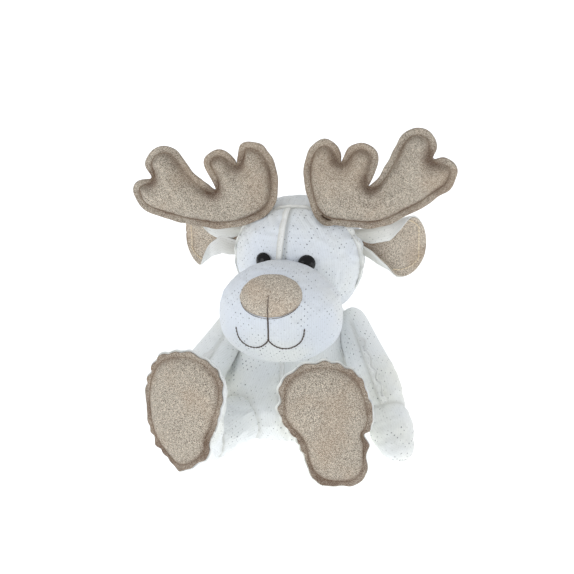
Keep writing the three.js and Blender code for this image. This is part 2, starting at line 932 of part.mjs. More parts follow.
function buildLeg(name) {
  const hinge = hip(name);
  const roll = new THREE.Matrix4().makeRotationZ(radians(footRoll[name]) * signs[name]);
  const at = frame(hinge.pivot, hinge.along, V(0, 0, 1)).multiply(roll);
  const away = [sweep(torsoSwing, hinge), beyondZ(0, -1)];
  const outside = stuffed({ ...legSize, count: footSides, rings: 5 });
  const inside = stuffed({ ...legSize, to: ankleAt + legRadius, count: 14, rings: 4 }, cloth);
  add(`leg_cover_${name}`, cut(placed(cut(outside, inside), at), ...away), jersey);
  add(`foot_cover_${name}`, cut(placed(footUpper(), at), beyondZ(0, -1)), jersey);
  add(`sole_${name}`, cut(placed(sole(), at), beyondZ(0, -1)), glitter);
  const lining = beyondZ(cloth + gap, -1);
  add(`leg_stuffing_${name}`, cut(placed(legFilling(), at), away[0], lining), fibre);
}

buildTorso();
const eyes = Object.values(signs).map(eyeFrame);
buildHead(eyes);
buildEyes(eyes);
buildMuzzle(eyes);
for (const name of Object.keys(signs)) {
  buildAntler(name);
  buildEar(name);
  buildArm(name);
  buildLeg(name);
}

export default deer;
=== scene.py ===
"""The looks of a stuffed deer that sits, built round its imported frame.

Lengths are in millimetres, but for the studio's, which are in metres, and each mesh is
made in metres. Noise in a finish is sized by how many of its bumps a metre holds. The deer
looks along -Y, and its left side is on +X.
"""

from __future__ import annotations

import logging
import math
from collections.abc import Callable, Iterable, Sequence
from dataclasses import dataclass, field
from enum import Enum
from typing import ClassVar

import bpy
import numpy as np
from mathutils import Matrix, Vector, noise
from mathutils.geometry import delaunay_2d_cdt


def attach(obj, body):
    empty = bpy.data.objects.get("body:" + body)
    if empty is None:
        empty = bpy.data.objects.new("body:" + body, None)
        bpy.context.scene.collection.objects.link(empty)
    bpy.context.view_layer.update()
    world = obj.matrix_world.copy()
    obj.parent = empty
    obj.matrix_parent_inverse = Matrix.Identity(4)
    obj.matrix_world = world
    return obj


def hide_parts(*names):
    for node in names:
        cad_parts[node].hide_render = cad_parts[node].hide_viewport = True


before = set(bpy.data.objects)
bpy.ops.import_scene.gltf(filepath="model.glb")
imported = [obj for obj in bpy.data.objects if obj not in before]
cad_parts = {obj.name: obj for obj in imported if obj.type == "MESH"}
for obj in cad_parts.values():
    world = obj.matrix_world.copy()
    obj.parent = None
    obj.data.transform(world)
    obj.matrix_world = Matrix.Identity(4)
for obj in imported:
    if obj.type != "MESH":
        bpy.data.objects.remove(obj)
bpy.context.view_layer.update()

log = logging.getLogger("deer")

MM = 0.001
CLOTH = 1.2
GAP = 0.3
SWING_GAP = 0.6
UV_NAME = "cloth"
# the point attribute that holds painted shade: how far a piece's colour is darkened in seams,
# hollows and where parts meet
PAINTED_SHADE = "crease"
TAU = 2 * math.pi
LOOSE = 0.12  # how firmly loose cloth is held while it is filled
AWAY = 40.0  # far enough from a seam to feel nothing of it
RAY = 90.0  # from where lines are sent back onto a skin

Points = np.ndarray
Table = Sequence[Sequence[float]]
Piece = bpy.types.Object
Material = bpy.types.Material
Tree = bpy.types.NodeTree
Node = bpy.types.Node
Socket = bpy.types.NodeSocket


class Side(Enum):
    """The deer's own left and right, as the sign of X."""

    LEFT = 1
    RIGHT = -1

    @property
    def label(self) -> str:
        """The word that a piece's name ends in."""
        return self.name.lower()


class Slot(Enum):
    """The record's material slots."""

    JERSEY = "white_jersey"
    GLITTER = "champagne_glitter"
    EYE = "eye_gloss"
    THREAD = "mouth_thread"


# Points and curves


def unit(vectors: Points) -> Points:
    """Vectors of length one."""
    lengths = np.linalg.norm(vectors, axis=-1, keepdims=True)
    return vectors / np.maximum(lengths, 1e-9)


def part(values: Points) -> Points:
    """Values kept from 0 to 1."""
    return np.clip(values, 0, 1)


def bell(far: Points, width: float) -> Points:
    """One where a distance is nothing, and less and less beyond a width."""
    return np.exp(-((far / width) ** 2))


def eased(share: Points) -> Points:
    """A share from 0 to 1 that starts and ends softly."""
    return share * share * (3 - 2 * share)


def summed(steps: Points) -> Points:
    """What the steps come to before the first and after each."""
    return np.concatenate([[0], np.cumsum(steps)])


def lengths_along(line: Points) -> Points:
    """The length of a line up to each of its points."""
    return summed(np.linalg.norm(np.diff(line, axis=0), axis=1))


def smoothed(values: Points, rounds: int, own: float = 1.0) -> Points:
    """Values round a closed line, each taken towards its neighbours a number of times."""
    for _ in range(rounds):
        values = (np.roll(values, 1, 0) + own * values + np.roll(values, -1, 0)) / (2 + own)
    return values


def around(count: int) -> Points:
    """Even angles all the way round."""
    return np.arange(count) / count * TAU


def moved(points: Points, matrix: Matrix) -> Points:
    """Points taken through a matrix."""
    m = np.array(matrix, float)
    return points @ m[:3, :3].T + m[:3, 3]


def way_in(matrix: Matrix, way: Sequence[float]) -> Points:
    """A way in a frame of its own, as the deer's frame has it."""
    return np.array(matrix.to_3x3() @ Vector(way))


def frame_of(place: Sequence[float], along: Sequence[float], up: Sequence[float]) -> Matrix:
    """A frame whose Z points along a limb and whose Y is as near to up as it can be.

    Args:
        place: The frame's origin.
        along: The way the limb points.
        up: The way its Y axis leans towards.

    Returns:
        The frame as a matrix.
    """
    z = Vector(along).normalized()
    x = Vector(up).cross(z).normalized()
    y = z.cross(x)
    turn = Matrix((x, y, z)).transposed().to_4x4()
    return Matrix.Translation(place) @ turn


def smooth_run(table: Table, count: int, closed: bool = False) -> Points:
    """A smooth curve through the rows of a table.

    Args:
        table: The rows that the curve goes through.
        count: How many points to read from it.
        closed: True where the last row leads back to the first.

    Returns:
        The points, at even steps of the table's rows.
    """
    rows = np.array(table, float)
    n = len(rows)
    spans = n if closed else n - 1
    at = np.arange(count) * spans / (count if closed else count - 1)
    first = np.minimum(at.astype(int), spans - 1)
    t = (at - first)[:, None]

    def row(index: Points) -> Points:
        """Rows by number, past the ends too."""
        if closed:
            return rows[index % n]
        inner = rows[np.clip(index, 0, n - 1)]
        before = (index < 0)[:, None] * (rows[0] - rows[1])
        after = (index > n - 1)[:, None] * (rows[-1] - rows[-2])
        return inner + before + after

    a, b, c, d = (row(first + k) for k in (-1, 0, 1, 2))
    return b + 0.5 * t * (c - a + t * (2 * a - 5 * b + 4 * c - d + t * (3 * (b - c) + d - a)))


def spaced(points: Points, step: float, closed: bool = False) -> Points:
    """The same line with its points at even steps of its length."""
    line = np.vstack([points, points[:1]]) if closed else points
    runs = lengths_along(line)
    count = max(int(round(runs[-1] / step)), 4)
    at = np.linspace(0, runs[-1], count, endpoint=not closed)
    return np.stack([np.interp(at, runs, line[:, k]) for k in range(line.shape[1])], axis=1)


def laid_out(line: Points, normals: Points, step: float) -> tuple[Points, Points, Points]:
    """A line on a skin at even steps: its points, its normals and the way it runs."""
    both = spaced(np.hstack([line, 20 * unit(normals)]), step)
    return both[:, :3], unit(both[:, 3:]), unit(np.gradient(both[:, :3], axis=0))


def wander(places: Points, size: float, seed: float) -> Points:
    """Soft noise from about -1 to 1 at each place.

    Args:
        places: The places that it is read at.
        size: How wide its bumps are.
        seed: A number that picks one noise of many.

    Returns:
        One value for each place.
    """
    shift = Vector((seed * 7.31, seed * 3.17, seed * 5.53))
    flat = places.reshape(-1, 3) / size
    values = [noise.noise(Vector(p) + shift) for p in flat]
    return np.array(values).reshape(places.shape[:-1])


def wave(at: Points, length: float, seed: float) -> Points:
    """An uneven wave along a line, from about -1 to 1."""
    places = np.stack([at, np.full_like(at, seed * 11.3), np.zeros_like(at)], axis=-1)
    drift = 1.3 * wander(places, 2.4 * length, seed + 1)
    return np.sin(TAU * at / length + 3 * drift + seed) * (0.75 + 0.5 * drift)


def cleared(points: Points, way: Sequence[float], inside: Callable[[Points], Points]) -> Points:
    """Points moved along one way until they lie outside a form.

    Args:
        points: The points to move.
        way: The way that they move.
        inside: Tells which points are inside the form.

    Returns:
        The points, those outside as they were.
    """
    step = 1.5
    way = unit(np.array(way, float))
    far = points.copy()
    stuck = inside(far)
    was_inside = stuck.copy()
    for _ in range(60):
        if not stuck.any():
            break
        far[stuck] += way * step
        stuck = inside(far)
    near = far - way * step
    for _ in range(7):
        middle = (near + far) / 2
        hit = inside(middle)
        near = np.where(hit[..., None], middle, near)
        far = np.where(hit[..., None], far, middle)
    return np.where(was_inside[..., None], far, points)


# Stuffed forms


@dataclass(frozen=True)
class Form:
    """A stuffed form along the Z axis of its own frame, as shares of its sizes."""

    wide: float
    up: float
    down: float
    low: float
    high: float
    shares: Table
    place: Matrix

    def rows(self, count: int) -> Points:
        """The place, width and depth of `count` sections, from low to high."""
        table = smooth_run(self.shares, 12 * len(self.shares))
        reach = self.wide * table[:, 1]
        run = np.hypot(np.diff(table[:, 0]) * (self.high - self.low), np.diff(reach))
        run = summed(run)
        at = np.linspace(0, run[-1], count)
        return np.stack([np.interp(at, run, table[:, k]) for k in range(3)], axis=1)

    def grid(self, rows: int, columns: int) -> Points:
        """Rings of points from low to high, in the deer's frame.

        Args:
            rows: The number of rings.
            columns: The points in each ring.

        Returns:
            An array of rows by columns by 3.
        """
        table = self.rows(rows)
        angle = around(columns)
        rise = np.sin(angle)
        depth = np.where(rise > 0, self.up, self.down)
        x = self.wide * np.outer(table[:, 1], np.cos(angle))
        y = np.outer(table[:, 2], rise * depth)
        z = np.repeat((self.low + table[:, 0] * (self.high - self.low))[:, None], columns, 1)
        return moved(np.stack([x, y, z], axis=2), self.place)

    def inside(self, points: Points, margin: float) -> Points:
        """Tells which points are inside the form made larger by a margin."""
        table = smooth_run(self.shares, 6 * len(self.shares))
        p = moved(points, self.place.inverted())
        share = (p[..., 2] - self.low) / (self.high - self.low)
        wide = np.interp(share, table[:, 0], table[:, 1]) * self.wide + margin
        deep = np.interp(share, table[:, 0], table[:, 2])
        deep = deep * np.where(p[..., 1] > 0, self.up, self.down) + margin
        level = (p[..., 2] > self.low - margin) & (p[..., 2] < self.high + margin)
        return level & ((p[..., 0] / wide) ** 2 + (p[..., 1] / deep) ** 2 < 1)


@dataclass(frozen=True)
class Hinge:
    """Where a limb swings, and the angles at which it clears what carries it."""

    pivot: tuple[float, float, float]
    axis: tuple[float, float, float]
    degrees: tuple[float, ...]

    def turned(self, points: Points, degrees: float) -> Points:
        """Points turned about the hinge."""
        pivot = Matrix.Translation(self.pivot)
        turn = Matrix.Rotation(math.radians(degrees), 4, Vector(self.axis))
        return moved(points, pivot @ turn @ pivot.inverted())

    def sweeps(self, carrier: Form, margin: float) -> Callable[[Points], Points]:
        """A test for points that meet the carrier at any of the angles."""
        return lambda points: np.any(
            [carrier.inside(self.turned(points, d), margin) for d in self.degrees], axis=0
        )


# Meshes


def show_only(obj: Piece) -> None:
    """Selects one object and nothing else."""
    bpy.ops.object.select_all(action="DESELECT")
    obj.select_set(True)
    bpy.context.view_layer.objects.active = obj


def apply_all(obj: Piece) -> None:
    """Applies the object's modifiers in their order."""
    show_only(obj)
    for modifier in list(obj.modifiers):
        bpy.ops.object.modifier_apply(modifier=modifier.name)


def mesh_piece(name: str, points: Points, faces: Iterable[Sequence[int]]) -> Piece:
    """A smooth mesh object from points in millimetres."""
    mesh = bpy.data.meshes.new(name)
    mesh.from_pydata((np.asarray(points).reshape(-1, 3) * MM).tolist(), [], list(faces))
    mesh.update()
    mesh.polygons.foreach_set("use_smooth", np.ones(len(mesh.polygons), bool))
    obj = bpy.data.objects.new(name, mesh)
    bpy.context.scene.collection.objects.link(obj)
    return obj


def set_crease(obj: Piece, values: Points, ends: Sequence[float] = (0, 0)) -> None:
    """Stores how much painted shade each point, and each end of a skin, gets."""
    values = part(np.append(values, ends)).astype(np.float32)
    obj.data.attributes.new(PAINTED_SHADE, "FLOAT", "POINT").data.foreach_set("value", values)


def set_cloth(obj: Piece, corners: Points) -> None:
    """Stores where each face corner lies on the cut cloth, in metres."""
    layer = obj.data.uv_layers.new(name=UV_NAME)
    layer.data.foreach_set("uv", (np.asarray(corners) * MM).astype(np.float32).ravel())


def soften(obj: Piece, levels: int) -> None:
    """Subdivides a finished mesh."""
    modifier = obj.modifiers.new("soft", "SUBSURF")
    modifier.levels = modifier.render_levels = levels
    modifier.use_limit_surface = False
    apply_all(obj)


def points_of(obj: Piece) -> Points:
    """The mesh's points in millimetres."""
    flat = np.empty(len(obj.data.vertices) * 3, np.float32)
    obj.data.vertices.foreach_get("co", flat)
    return flat.reshape(-1, 3).astype(float) / MM


def put_points(obj: Piece, points: Points) -> None:
    """Moves the mesh's points, given in millimetres."""
    obj.data.vertices.foreach_set("co", (points * MM).astype(np.float32).ravel())
    obj.data.update()


def settle(obj: Piece, high: float = 1e6) -> None:
    """Lifts what lies under the floor, and lowers what is over a height."""
    points = points_of(obj)
    points[:, 2] = np.clip(points[:, 2], 0.0, high)
    put_points(obj, points)


def grid_faces(rows: int, columns: int) -> list[tuple[int, ...]]:
    """Quads between closed rings that follow each other."""
    return [
        (i * columns + j, i * columns + k, (i + 1) * columns + k, (i + 1) * columns + j)
        for i in range(rows - 1)
        for j, k in ((j, (j + 1) % columns) for j in range(columns))
    ]


def ring_normals(grid: Points) -> Points:
    """The way each point of a grid of closed rings faces."""
    across = np.roll(grid, -1, axis=1) - np.roll(grid, 1, axis=1)
    along = np.gradient(grid, axis=0)
    return unit(np.cross(across, along))


def ring_cloth(grid: Points, panels: Sequence[float]) -> Points:
    """Where each corner of a grid's quads lies on its panel of cloth.

    Args:
        grid: The closed rings.
        panels: The share of the way round at which each panel starts.

    Returns:
        Two numbers for each corner, in the order of grid_faces.
    """
    rows, columns, _ = grid.shape
    closed = np.concatenate([grid, grid[:, :1]], axis=1)
    steps = np.linalg.norm(np.diff(closed, axis=1), axis=2)
    runs = np.concatenate([np.zeros((rows, 1)), np.cumsum(steps, axis=1)], axis=1)
    rise = np.linalg.norm(np.diff(grid, axis=0), axis=2).mean(axis=1)
    height = summed(rise)
    starts = np.array(sorted(panels))
    pick = np.searchsorted(starts, (np.arange(columns) + 0.5) / columns) - 1
    first = starts[pick] - (pick < 0)
    middle = (first + np.append(starts, starts[0] + 1)[pick + 1]) / 2 * columns % columns
    corners = []
    for i in range(rows - 1):
        for j in range(columns):
            for a, b in ((i, j), (i, j + 1), (i + 1, j + 1), (i + 1, j)):
                centre = np.interp(middle[j], np.arange(columns + 1), runs[a])
                place = (runs[a, b] - centre + 97.0 * first[j], height[a] + 61.0 * first[j])
                corners.append(place)
    return np.array(corners)


def ring_piece(
    name: str,
    grid: Points,
    panels: Sequence[float] = (0.0,),
    ends: tuple[Points | None, Points | None] = (None, None),
) -> Piece:
    """A closed skin over rings, with its cloth laid out.

    Args:
        name: The piece's name.
        grid: The closed rings.
        panels: The share of the way round at which each panel of cloth starts.
        ends: The point that closes each end, or None for the end ring's middle.

    Returns:
        The object.
    """
    rows, columns, _ = grid.shape
    low = grid[0].mean(axis=0) if ends[0] is None else ends[0]
    high = grid[-1].mean(axis=0) if ends[1] is None else ends[1]
    points = np.vstack([grid.reshape(-1, 3), low, high])
    faces = grid_faces(rows, columns)
    first, last, top = rows * columns, rows * columns + 1, (rows - 1) * columns
    corners = list(ring_cloth(grid, panels))
    for j in range(columns):
        k = (j + 1) % columns
        faces.append((first, k, j))
        faces.append((last, top + j, top + k))
        for end, a, b in ((low, k, j), (high, top + j, top + k)):
            for p in (end, points[a], points[b]):
                corners.append((p[0] - end[0], p[1] - end[1]))
    obj = mesh_piece(name, points, faces)
    set_cloth(obj, np.array(corners))
    return obj


@dataclass
class Stuffing:
    """Cloth that is blown up from inside, for the pieces that it is given."""

    pressure: float = 4.0
    frames: int = 20
    spare: float = 0.03
    jobs: list[tuple[Piece, Points, float]] = field(default_factory=list)

    def add(self, obj: Piece, held: Points, cap: float) -> None:
        """Puts a piece in line.

        Args:
            obj: A closed mesh.
            held: How firmly each point is held, from 0 to 1.
            cap: The furthest that a point may move.
        """
        self.jobs.append((obj, held, cap))

    def add_skin(self, obj: Piece, firm: Points, cap: float, loose: float = LOOSE) -> None:
        """Puts a skin over rings in line, with its ends held.

        Args:
            obj: The skin.
            firm: Tells which points of the grid are held.
            cap: The furthest that a point may move.
            loose: How firmly the other points are held.
        """
        self.add(obj, np.append(np.where(firm, 1.0, loose).ravel(), [1, 1]), cap)

    def run(self) -> None:
        """Blows up all pieces at once, and keeps the shapes that they reach."""
        jobs, self.jobs = self.jobs, []
        if not jobs:
            return
        scene = bpy.context.scene
        for obj, held, _ in jobs:
            group = obj.vertex_groups.new(name="held")
            for index in np.flatnonzero(held > 0.01):
                group.add([int(index)], float(held[index]), "REPLACE")
            cloth = obj.modifiers.new("filling", "CLOTH")
            for key, value in {
                "quality": 6, "mass": 0.15, "tension_stiffness": 12, "compression_stiffness": 12,
                "shear_stiffness": 6, "bending_stiffness": 0.6, "use_pressure": True,
                "uniform_pressure_force": self.pressure, "shrink_min": -self.spare,
                "vertex_group_mass": group.name, "pin_stiffness": 20,
            }.items():
                setattr(cloth.settings, key, value)
            cloth.settings.effector_weights.gravity = 0
            cloth.collision_settings.use_collision = False
            cloth.point_cache.frame_start = 1
            cloth.point_cache.frame_end = self.frames
        for step in range(1, self.frames + 1):
            scene.frame_set(step)
        for obj, _, cap in jobs:
            before = points_of(obj)
            apply_all(obj)
            obj.vertex_groups.clear()
            shift = points_of(obj) - before
            far = np.linalg.norm(shift, axis=1, keepdims=True)
            shift *= np.minimum(1, cap / np.maximum(far, 1e-9))
            put_points(obj, before + shift)
            log.info("%s filled, moved %.1f mm at most", obj.name, far.max())
        scene.frame_set(1)


class Skin:
    """Finds the outside of finished pieces, to lay seams and stitches on them."""

    def __init__(self, *objs: Piece) -> None:
        """Remembers the pieces that a line may meet."""
        self.objs = objs

    def meet(self, start: Sequence[float], way: Sequence[float]) -> tuple[Points, Points] | None:
        """The first point that a line meets, and the way that the skin faces there."""
        found = None
        for obj in self.objs:
            hit, place, normal, _ = obj.ray_cast(Vector(start) * MM, Vector(way))
            if hit:
                point = np.array(place) / MM
                far = float(np.linalg.norm(point - np.array(start)))
                if found is None or far < found[0]:
                    found = (far, point, np.array(normal))
        return None if found is None else (found[1], found[2])

    def follow(self, starts: Iterable[Sequence[float]], ways: object) -> tuple[Points, Points]:
        """The points and normals where a row of lines meets the skin.

        Args:
            starts: Where each line starts.
            ways: One way for all lines, or one for each.

        Returns:
            The points and the normals of the lines that meet it.
        """
        starts = np.array(list(starts), float)
        ways = np.broadcast_to(np.array(ways, float), starts.shape)
        hits = [h for h in (self.meet(s, w) for s, w in zip(starts, ways)) if h]
        return np.array([h[0] for h in hits]), np.array([h[1] for h in hits])


@dataclass(frozen=True)
class Fin:
    """The raw edges of two layers of cloth, which stand up out of a seam."""

    height: float = 4.0
    thickness: float = 0.8
    lean: float = 0.5
    waviness: float = 0.8
    wave_length: float = 9.0
    splay: float = 0.5
    seed: float = 1.0
    rounded: bool = False
    fade: tuple[float, float] = (5.0, 5.0)

    def build(self, name: str, line: Points, normals: Points) -> Piece:
        """A fin along a line on a skin.

        Args:
            name: The piece's name.
            line: Points on the skin.
            normals: The way the skin faces at each point.

        Returns:
            The object, softened.
        """
        line, normals, along = laid_out(line, normals, 1.3)
        side = unit(np.cross(along, normals))
        at = lengths_along(line)
        ends = np.minimum(at / self.fade[0], (at[-1] - at) / self.fade[1])
        ends = part(ends) ** 0.6
        sway = self.waviness * wave(at, self.wave_length, self.seed)
        high = self.height * (1 + 0.13 * wave(at, 0.8 * self.wave_length, self.seed + 4)) * ends
        open_by = self.splay * (0.6 + 0.4 * wave(at, 13.0, self.seed + 7))
        t, groove = self.thickness, 0.12
        section = [
            (-t, -0.8, 0), (-t, 0.0, 0), (-t, 0.45, -0.4), (-t, 0.8, -0.8), (-0.9 * t, 0.97, -1),
            (-0.5 * t, 1.03, -1), (-groove * t - 0.05, 0.93, -0.9), (-groove * t, 0.6, -0.4),
            (groove * t, 0.6, 0.4), (groove * t + 0.05, 0.9, 0.9), (0.5 * t, 0.99, 1),
            (0.9 * t, 0.93, 1), (t, 0.76, 0.8), (t, 0.42, 0.4), (t, 0.0, 0), (t, -0.8, 0),
        ]
        if self.rounded:
            half = ((1.7, -0.8), (1.45, -0.1), (1.1, 0.32), (0.8, 0.7), (0.35, 0.97))
            section = [(-w * t, h, 0) for w, h in half] + [(w * t, h, 0) for w, h in half[::-1]]
        rings, share = [], []
        for a, h, open_share in section:
            rise = np.where(h < 0, h, h * high)
            share.append(max(h, 0.0))
            tip = max(h, 0.0) ** 2
            across = a + open_share * open_by + tip * (sway + self.lean * self.height)
            rings.append(line + side * across[:, None] + normals * rise[:, None])
        grid = np.stack(rings, axis=1)
        obj = ring_piece(name, grid)
        # painted shade, heaviest at the fin's foot and none along its top edge
        set_crease(obj, np.tile(0.5 - 0.5 * np.array(share), len(line)), (0.3, 0.3))
        soften(obj, 1)
        return obj


@dataclass(frozen=True)
class Stitches:
    """A row of short stitches that lie along a line."""

    length: float = 2.2
    pitch: float = 2.9
    radius: float = 0.28
    sink: float = 0.08
    turn: float = 6.0
    sides: int = 6

    def build(self, name: str, line: Points, normals: Points) -> Piece:
        """One stitch, copied along the line with each copy turned a little.

        Args:
            name: The piece's name.
            line: Points on the cloth.
            normals: The way the cloth faces at each point.

        Returns:
            The object that holds all the stitches.
        """
        bpy.ops.object.select_all(action="DESELECT")
        bpy.ops.mesh.primitive_uv_sphere_add(
            segments=self.sides, ring_count=6, radius=1.0, enter_editmode=True
        )
        bpy.ops.mesh.select_all(action="SELECT")
        bpy.ops.transform.rotate(value=math.pi / 2, orient_axis="Y", center_override=(0, 0, 0))
        bpy.ops.object.mode_set(mode="OBJECT")
        one = bpy.context.object
        shape = points_of(one) * MM
        faces = [tuple(p.vertices) for p in one.data.polygons]
        bpy.data.objects.remove(one)
        shape[:, 0] = np.sign(shape[:, 0]) * np.abs(shape[:, 0]) ** 0.75

        points, all_faces = [], []
        for i, (place, up, run) in enumerate(zip(*laid_out(line, normals, self.pitch))):
            side = unit(np.cross(up, run))
            swing = math.radians(self.turn) * math.sin(2.4 * i)
            run = run * math.cos(swing) + side * math.sin(swing)
            side = unit(np.cross(up, run))
            arch = self.radius * (1 - 0.9 * shape[:, :1] ** 2)
            points.append(
                place
                + run * shape[:, :1] * self.length / 2
                + side * shape[:, 1:2] * self.radius
                + up * (shape[:, 2:] * 0.8 * self.radius + arch - self.sink - 0.3 * self.radius)
            )
            all_faces += [tuple(i * len(shape) + k for k in f) for f in faces]
        return mesh_piece(name, np.vstack(points), all_faces)


# Finishes


class Wiring:
    """Adds nodes to one tree and links them."""

    def __init__(self, tree: Tree) -> None:
        """Starts on a tree."""
        self.tree = tree

    def node(self, kind: str, inputs: dict | None = None, **settings: object) -> Node:
        """A new node with its settings and inputs.

        Args:
            kind: The node's type.
            inputs: Values or sockets for its inputs, by name or number.
            **settings: The node's own properties.

        Returns:
            The node.
        """
        made = self.tree.nodes.new(kind)
        for key, value in settings.items():
            setattr(made, key, value)
        return self.feed(made, inputs or {})

    def feed(self, node: Node, inputs: dict) -> Node:
        """Links a node's inputs to other sockets, or sets their values."""
        for key, value in inputs.items():
            if isinstance(value, Socket):
                self.tree.links.new(value, node.inputs[key])
            else:
                node.inputs[key].default_value = value
        return node

    def math(self, operation: str, *values: object) -> Socket:
        """The result of one sum on values or sockets."""
        made = self.node("ShaderNodeMath", dict(enumerate(values)), operation=operation)
        return made.outputs[0]

    def times(self, a: object, b: object) -> Socket:
        """The product of two values."""
        return self.math("MULTIPLY", a, b)

    def plus(self, a: object, b: object) -> Socket:
        """The sum of two values."""
        return self.math("ADD", a, b)

    def minus(self, a: object, b: object) -> Socket:
        """The first value less the second."""
        return self.math("SUBTRACT", a, b)

    def blend(self, share: object, a: object, b: object) -> Socket:
        """The colour that lies a share of the way from a to b."""
        inputs = {0: share, 6: a, 7: b}
        return self.node("ShaderNodeMix", inputs, data_type="RGBA").outputs[2]

    def cloud(self, place: object, scale: float, detail: float = 3.0) -> Socket:
        """Soft noise from 0 to 1, with so many bumps to the metre."""
        inputs = {"Vector": place, "Scale": scale, "Detail": detail}
        return self.node("ShaderNodeTexNoise", inputs).outputs[0]

    def bump(self, shader: Node, height: object, strength: float, far: float) -> None:
        """Relief for a shader, with its height in millimetres."""
        inputs = {"Height": height, "Strength": strength, "Distance": far * MM}
        self.feed(shader, {"Normal": self.node("ShaderNodeBump", inputs).outputs[0]})

    def shade_tint(self, base: object, share: float, tint: object) -> Socket:
        """A colour taken towards a shade tint by the piece's painted shade times a share."""
        crease = self.node("ShaderNodeAttribute", attribute_name=PAINTED_SHADE).outputs["Fac"]
        return self.blend(self.times(crease, share), base, tint)

    def spread(self, value: object, low: float, high: float) -> Socket:
        """A value from 0 to 1 taken to a smooth step between two marks."""
        inputs = {"Value": value, "From Min": low, "From Max": high}
        return self.node(
            "ShaderNodeMapRange", inputs, interpolation_type="SMOOTHSTEP"
        ).outputs["Result"]


def shared_group(
    name: str, ins: dict[str, str], outs: dict[str, str]
) -> tuple[Tree, Wiring, Node, Node]:
    """A new shader node group with named sockets.

    Args:
        name: The group's name.
        ins: The socket type of each input.
        outs: The socket type of each output.

    Returns:
        The group, its wiring, and its input and output nodes.
    """
    tree = bpy.data.node_groups.new(name, "ShaderNodeTree")
    for words, way in ((ins, "INPUT"), (outs, "OUTPUT")):
        for key, kind in words.items():
            tree.interface.new_socket(key, in_out=way, socket_type=f"NodeSocket{kind}")
    wires = Wiring(tree)
    return tree, wires, wires.node("NodeGroupInput"), wires.node("NodeGroupOutput")


def knit_group() -> Tree:
    """Fine ribs of knit with their rows of loops."""
    tree, w, start, end = shared_group(
        "knit", {"Cloth": "Vector", "Rib": "Float", "Row": "Float"}, {"Height": "Float"}
    )
    split = w.node("ShaderNodeSeparateXYZ", {0: start.outputs["Cloth"]})
    rib = w.math("DIVIDE", split.outputs[0], start.outputs["Rib"])
    row = w.math("DIVIDE", split.outputs[1], start.outputs["Row"])
    slant = w.math("ABSOLUTE", w.minus(w.math("FRACT", rib), 0.5))
    loops = w.math("SINE", w.times(w.plus(row, slant), TAU))
    ridge = w.math("COSINE", w.times(rib, TAU))
    height = w.plus(w.times(ridge, 0.35), w.times(loops, 0.15))
    w.feed(end, {"Height": w.plus(height, 0.5)})
    return tree


def foil_group() -> Tree:
    """Dots of foil in a diamond grid, some of them rubbed off."""
    tree, w, start, end = shared_group(
        "foil_dots",
        {"Cloth": "Vector", "Spacing": "Float", "Radius": "Float"},
        {"Mask": "Float", "Tone": "Float"},
    )
    split = w.node("ShaderNodeSeparateXYZ", {0: start.outputs["Cloth"]})
    masks, tones = [], []
    for shift in (0.0, 0.5):
        parts = [
            w.plus(w.math("DIVIDE", split.outputs[k], start.outputs["Spacing"]), shift)
            for k in (0, 1)
        ]
        near = [w.minus(w.math("FRACT", p), 0.5) for p in parts]
        far = w.math("SQRT", w.plus(*(w.math("POWER", n, 2) for n in near)))
        far = w.times(far, start.outputs["Spacing"])
        cell = [w.math("FLOOR", p) for p in parts]
        at = w.node("ShaderNodeCombineXYZ", {0: cell[0], 1: cell[1], 2: 3.7 + shift})
        tone = w.node("ShaderNodeTexWhiteNoise", {"Vector": at.outputs[0]}).outputs["Value"]
        size = w.times(start.outputs["Radius"], w.plus(tone, 0.35))
        masks.append(w.math("LESS_THAN", far, size))
        tones.append(w.times(tone, masks[-1]))
    w.feed(end, {"Mask": w.math("MAXIMUM", *masks), "Tone": w.math("MAXIMUM", *tones)})
    return tree


def grain_group() -> Tree:
    """Grains of glitter, each with its own tone and some much brighter."""
    tree, w, start, end = shared_group(
        "glitter_grain",
        {"Place": "Vector", "Fineness": "Float"},
        {"Tone": "Float", "Spark": "Float", "Height": "Float"},
    )
    place, scale = start.outputs["Place"], start.outputs["Fineness"]
    large, small = (
        w.node("ShaderNodeTexVoronoi", {"Vector": place, "Scale": size})
        for size in (scale, w.times(scale, 2.3))
    )
    split, other = (
        w.node("ShaderNodeSeparateColor", {0: cells.outputs["Color"]}).outputs
        for cells in (large, small)
    )
    w.feed(end, {
        "Tone": w.plus(w.times(split[0], 0.6), w.times(other[0], 0.4)),
        "Spark": w.spread(other[1], 0.84, 0.94),
        "Height": w.minus(1.0, small.outputs["Distance"]),
    })
    return tree


GROUPS: dict[str, Tree] = {}


def group_node(w: Wiring, make: Callable[[], Tree], inputs: dict) -> Node:
    """A shared group placed in a material, built when it is first asked for."""
    if make.__name__ not in GROUPS:
        GROUPS[make.__name__] = make()
    return w.feed(w.node("ShaderNodeGroup", node_tree=GROUPS[make.__name__]), inputs)


def colour(sight: Sequence[int]) -> tuple[float, float, float, float]:
    """The light of a colour given as it is seen, from 0 to 255."""
    return (*(((v / 255 + 0.055) / 1.055) ** 2.4 for v in sight), 1.0)


@dataclass(frozen=True)
class Finish:
    """What every finish has: a name, a colour and how rough it is."""

    name: str
    seen: tuple[int, int, int]
    roughness: float = 0.85
    slot: ClassVar[Slot | None] = None

    def start(self, **inputs: object) -> tuple[Material, Wiring, Node, Socket]:
        """A material with a bare shader in it.

        Args:
            **inputs: Values for the shader's inputs, with _ for each space.

        Returns:
            The material, its wiring, its shader and the places on the piece.
        """
        material = bpy.data.materials.new(self.name)
        material.use_nodes = True
        material.node_tree.nodes.clear()
        w = Wiring(material.node_tree)
        values = {key.replace("_", " "): value for key, value in inputs.items()}
        shader = w.node("ShaderNodeBsdfPrincipled", {"Roughness": self.roughness, **values})
        w.node("ShaderNodeOutputMaterial", {"Surface": shader.outputs[0]})
        return material, w, shader, w.node("ShaderNodeTexCoord").outputs["Object"]


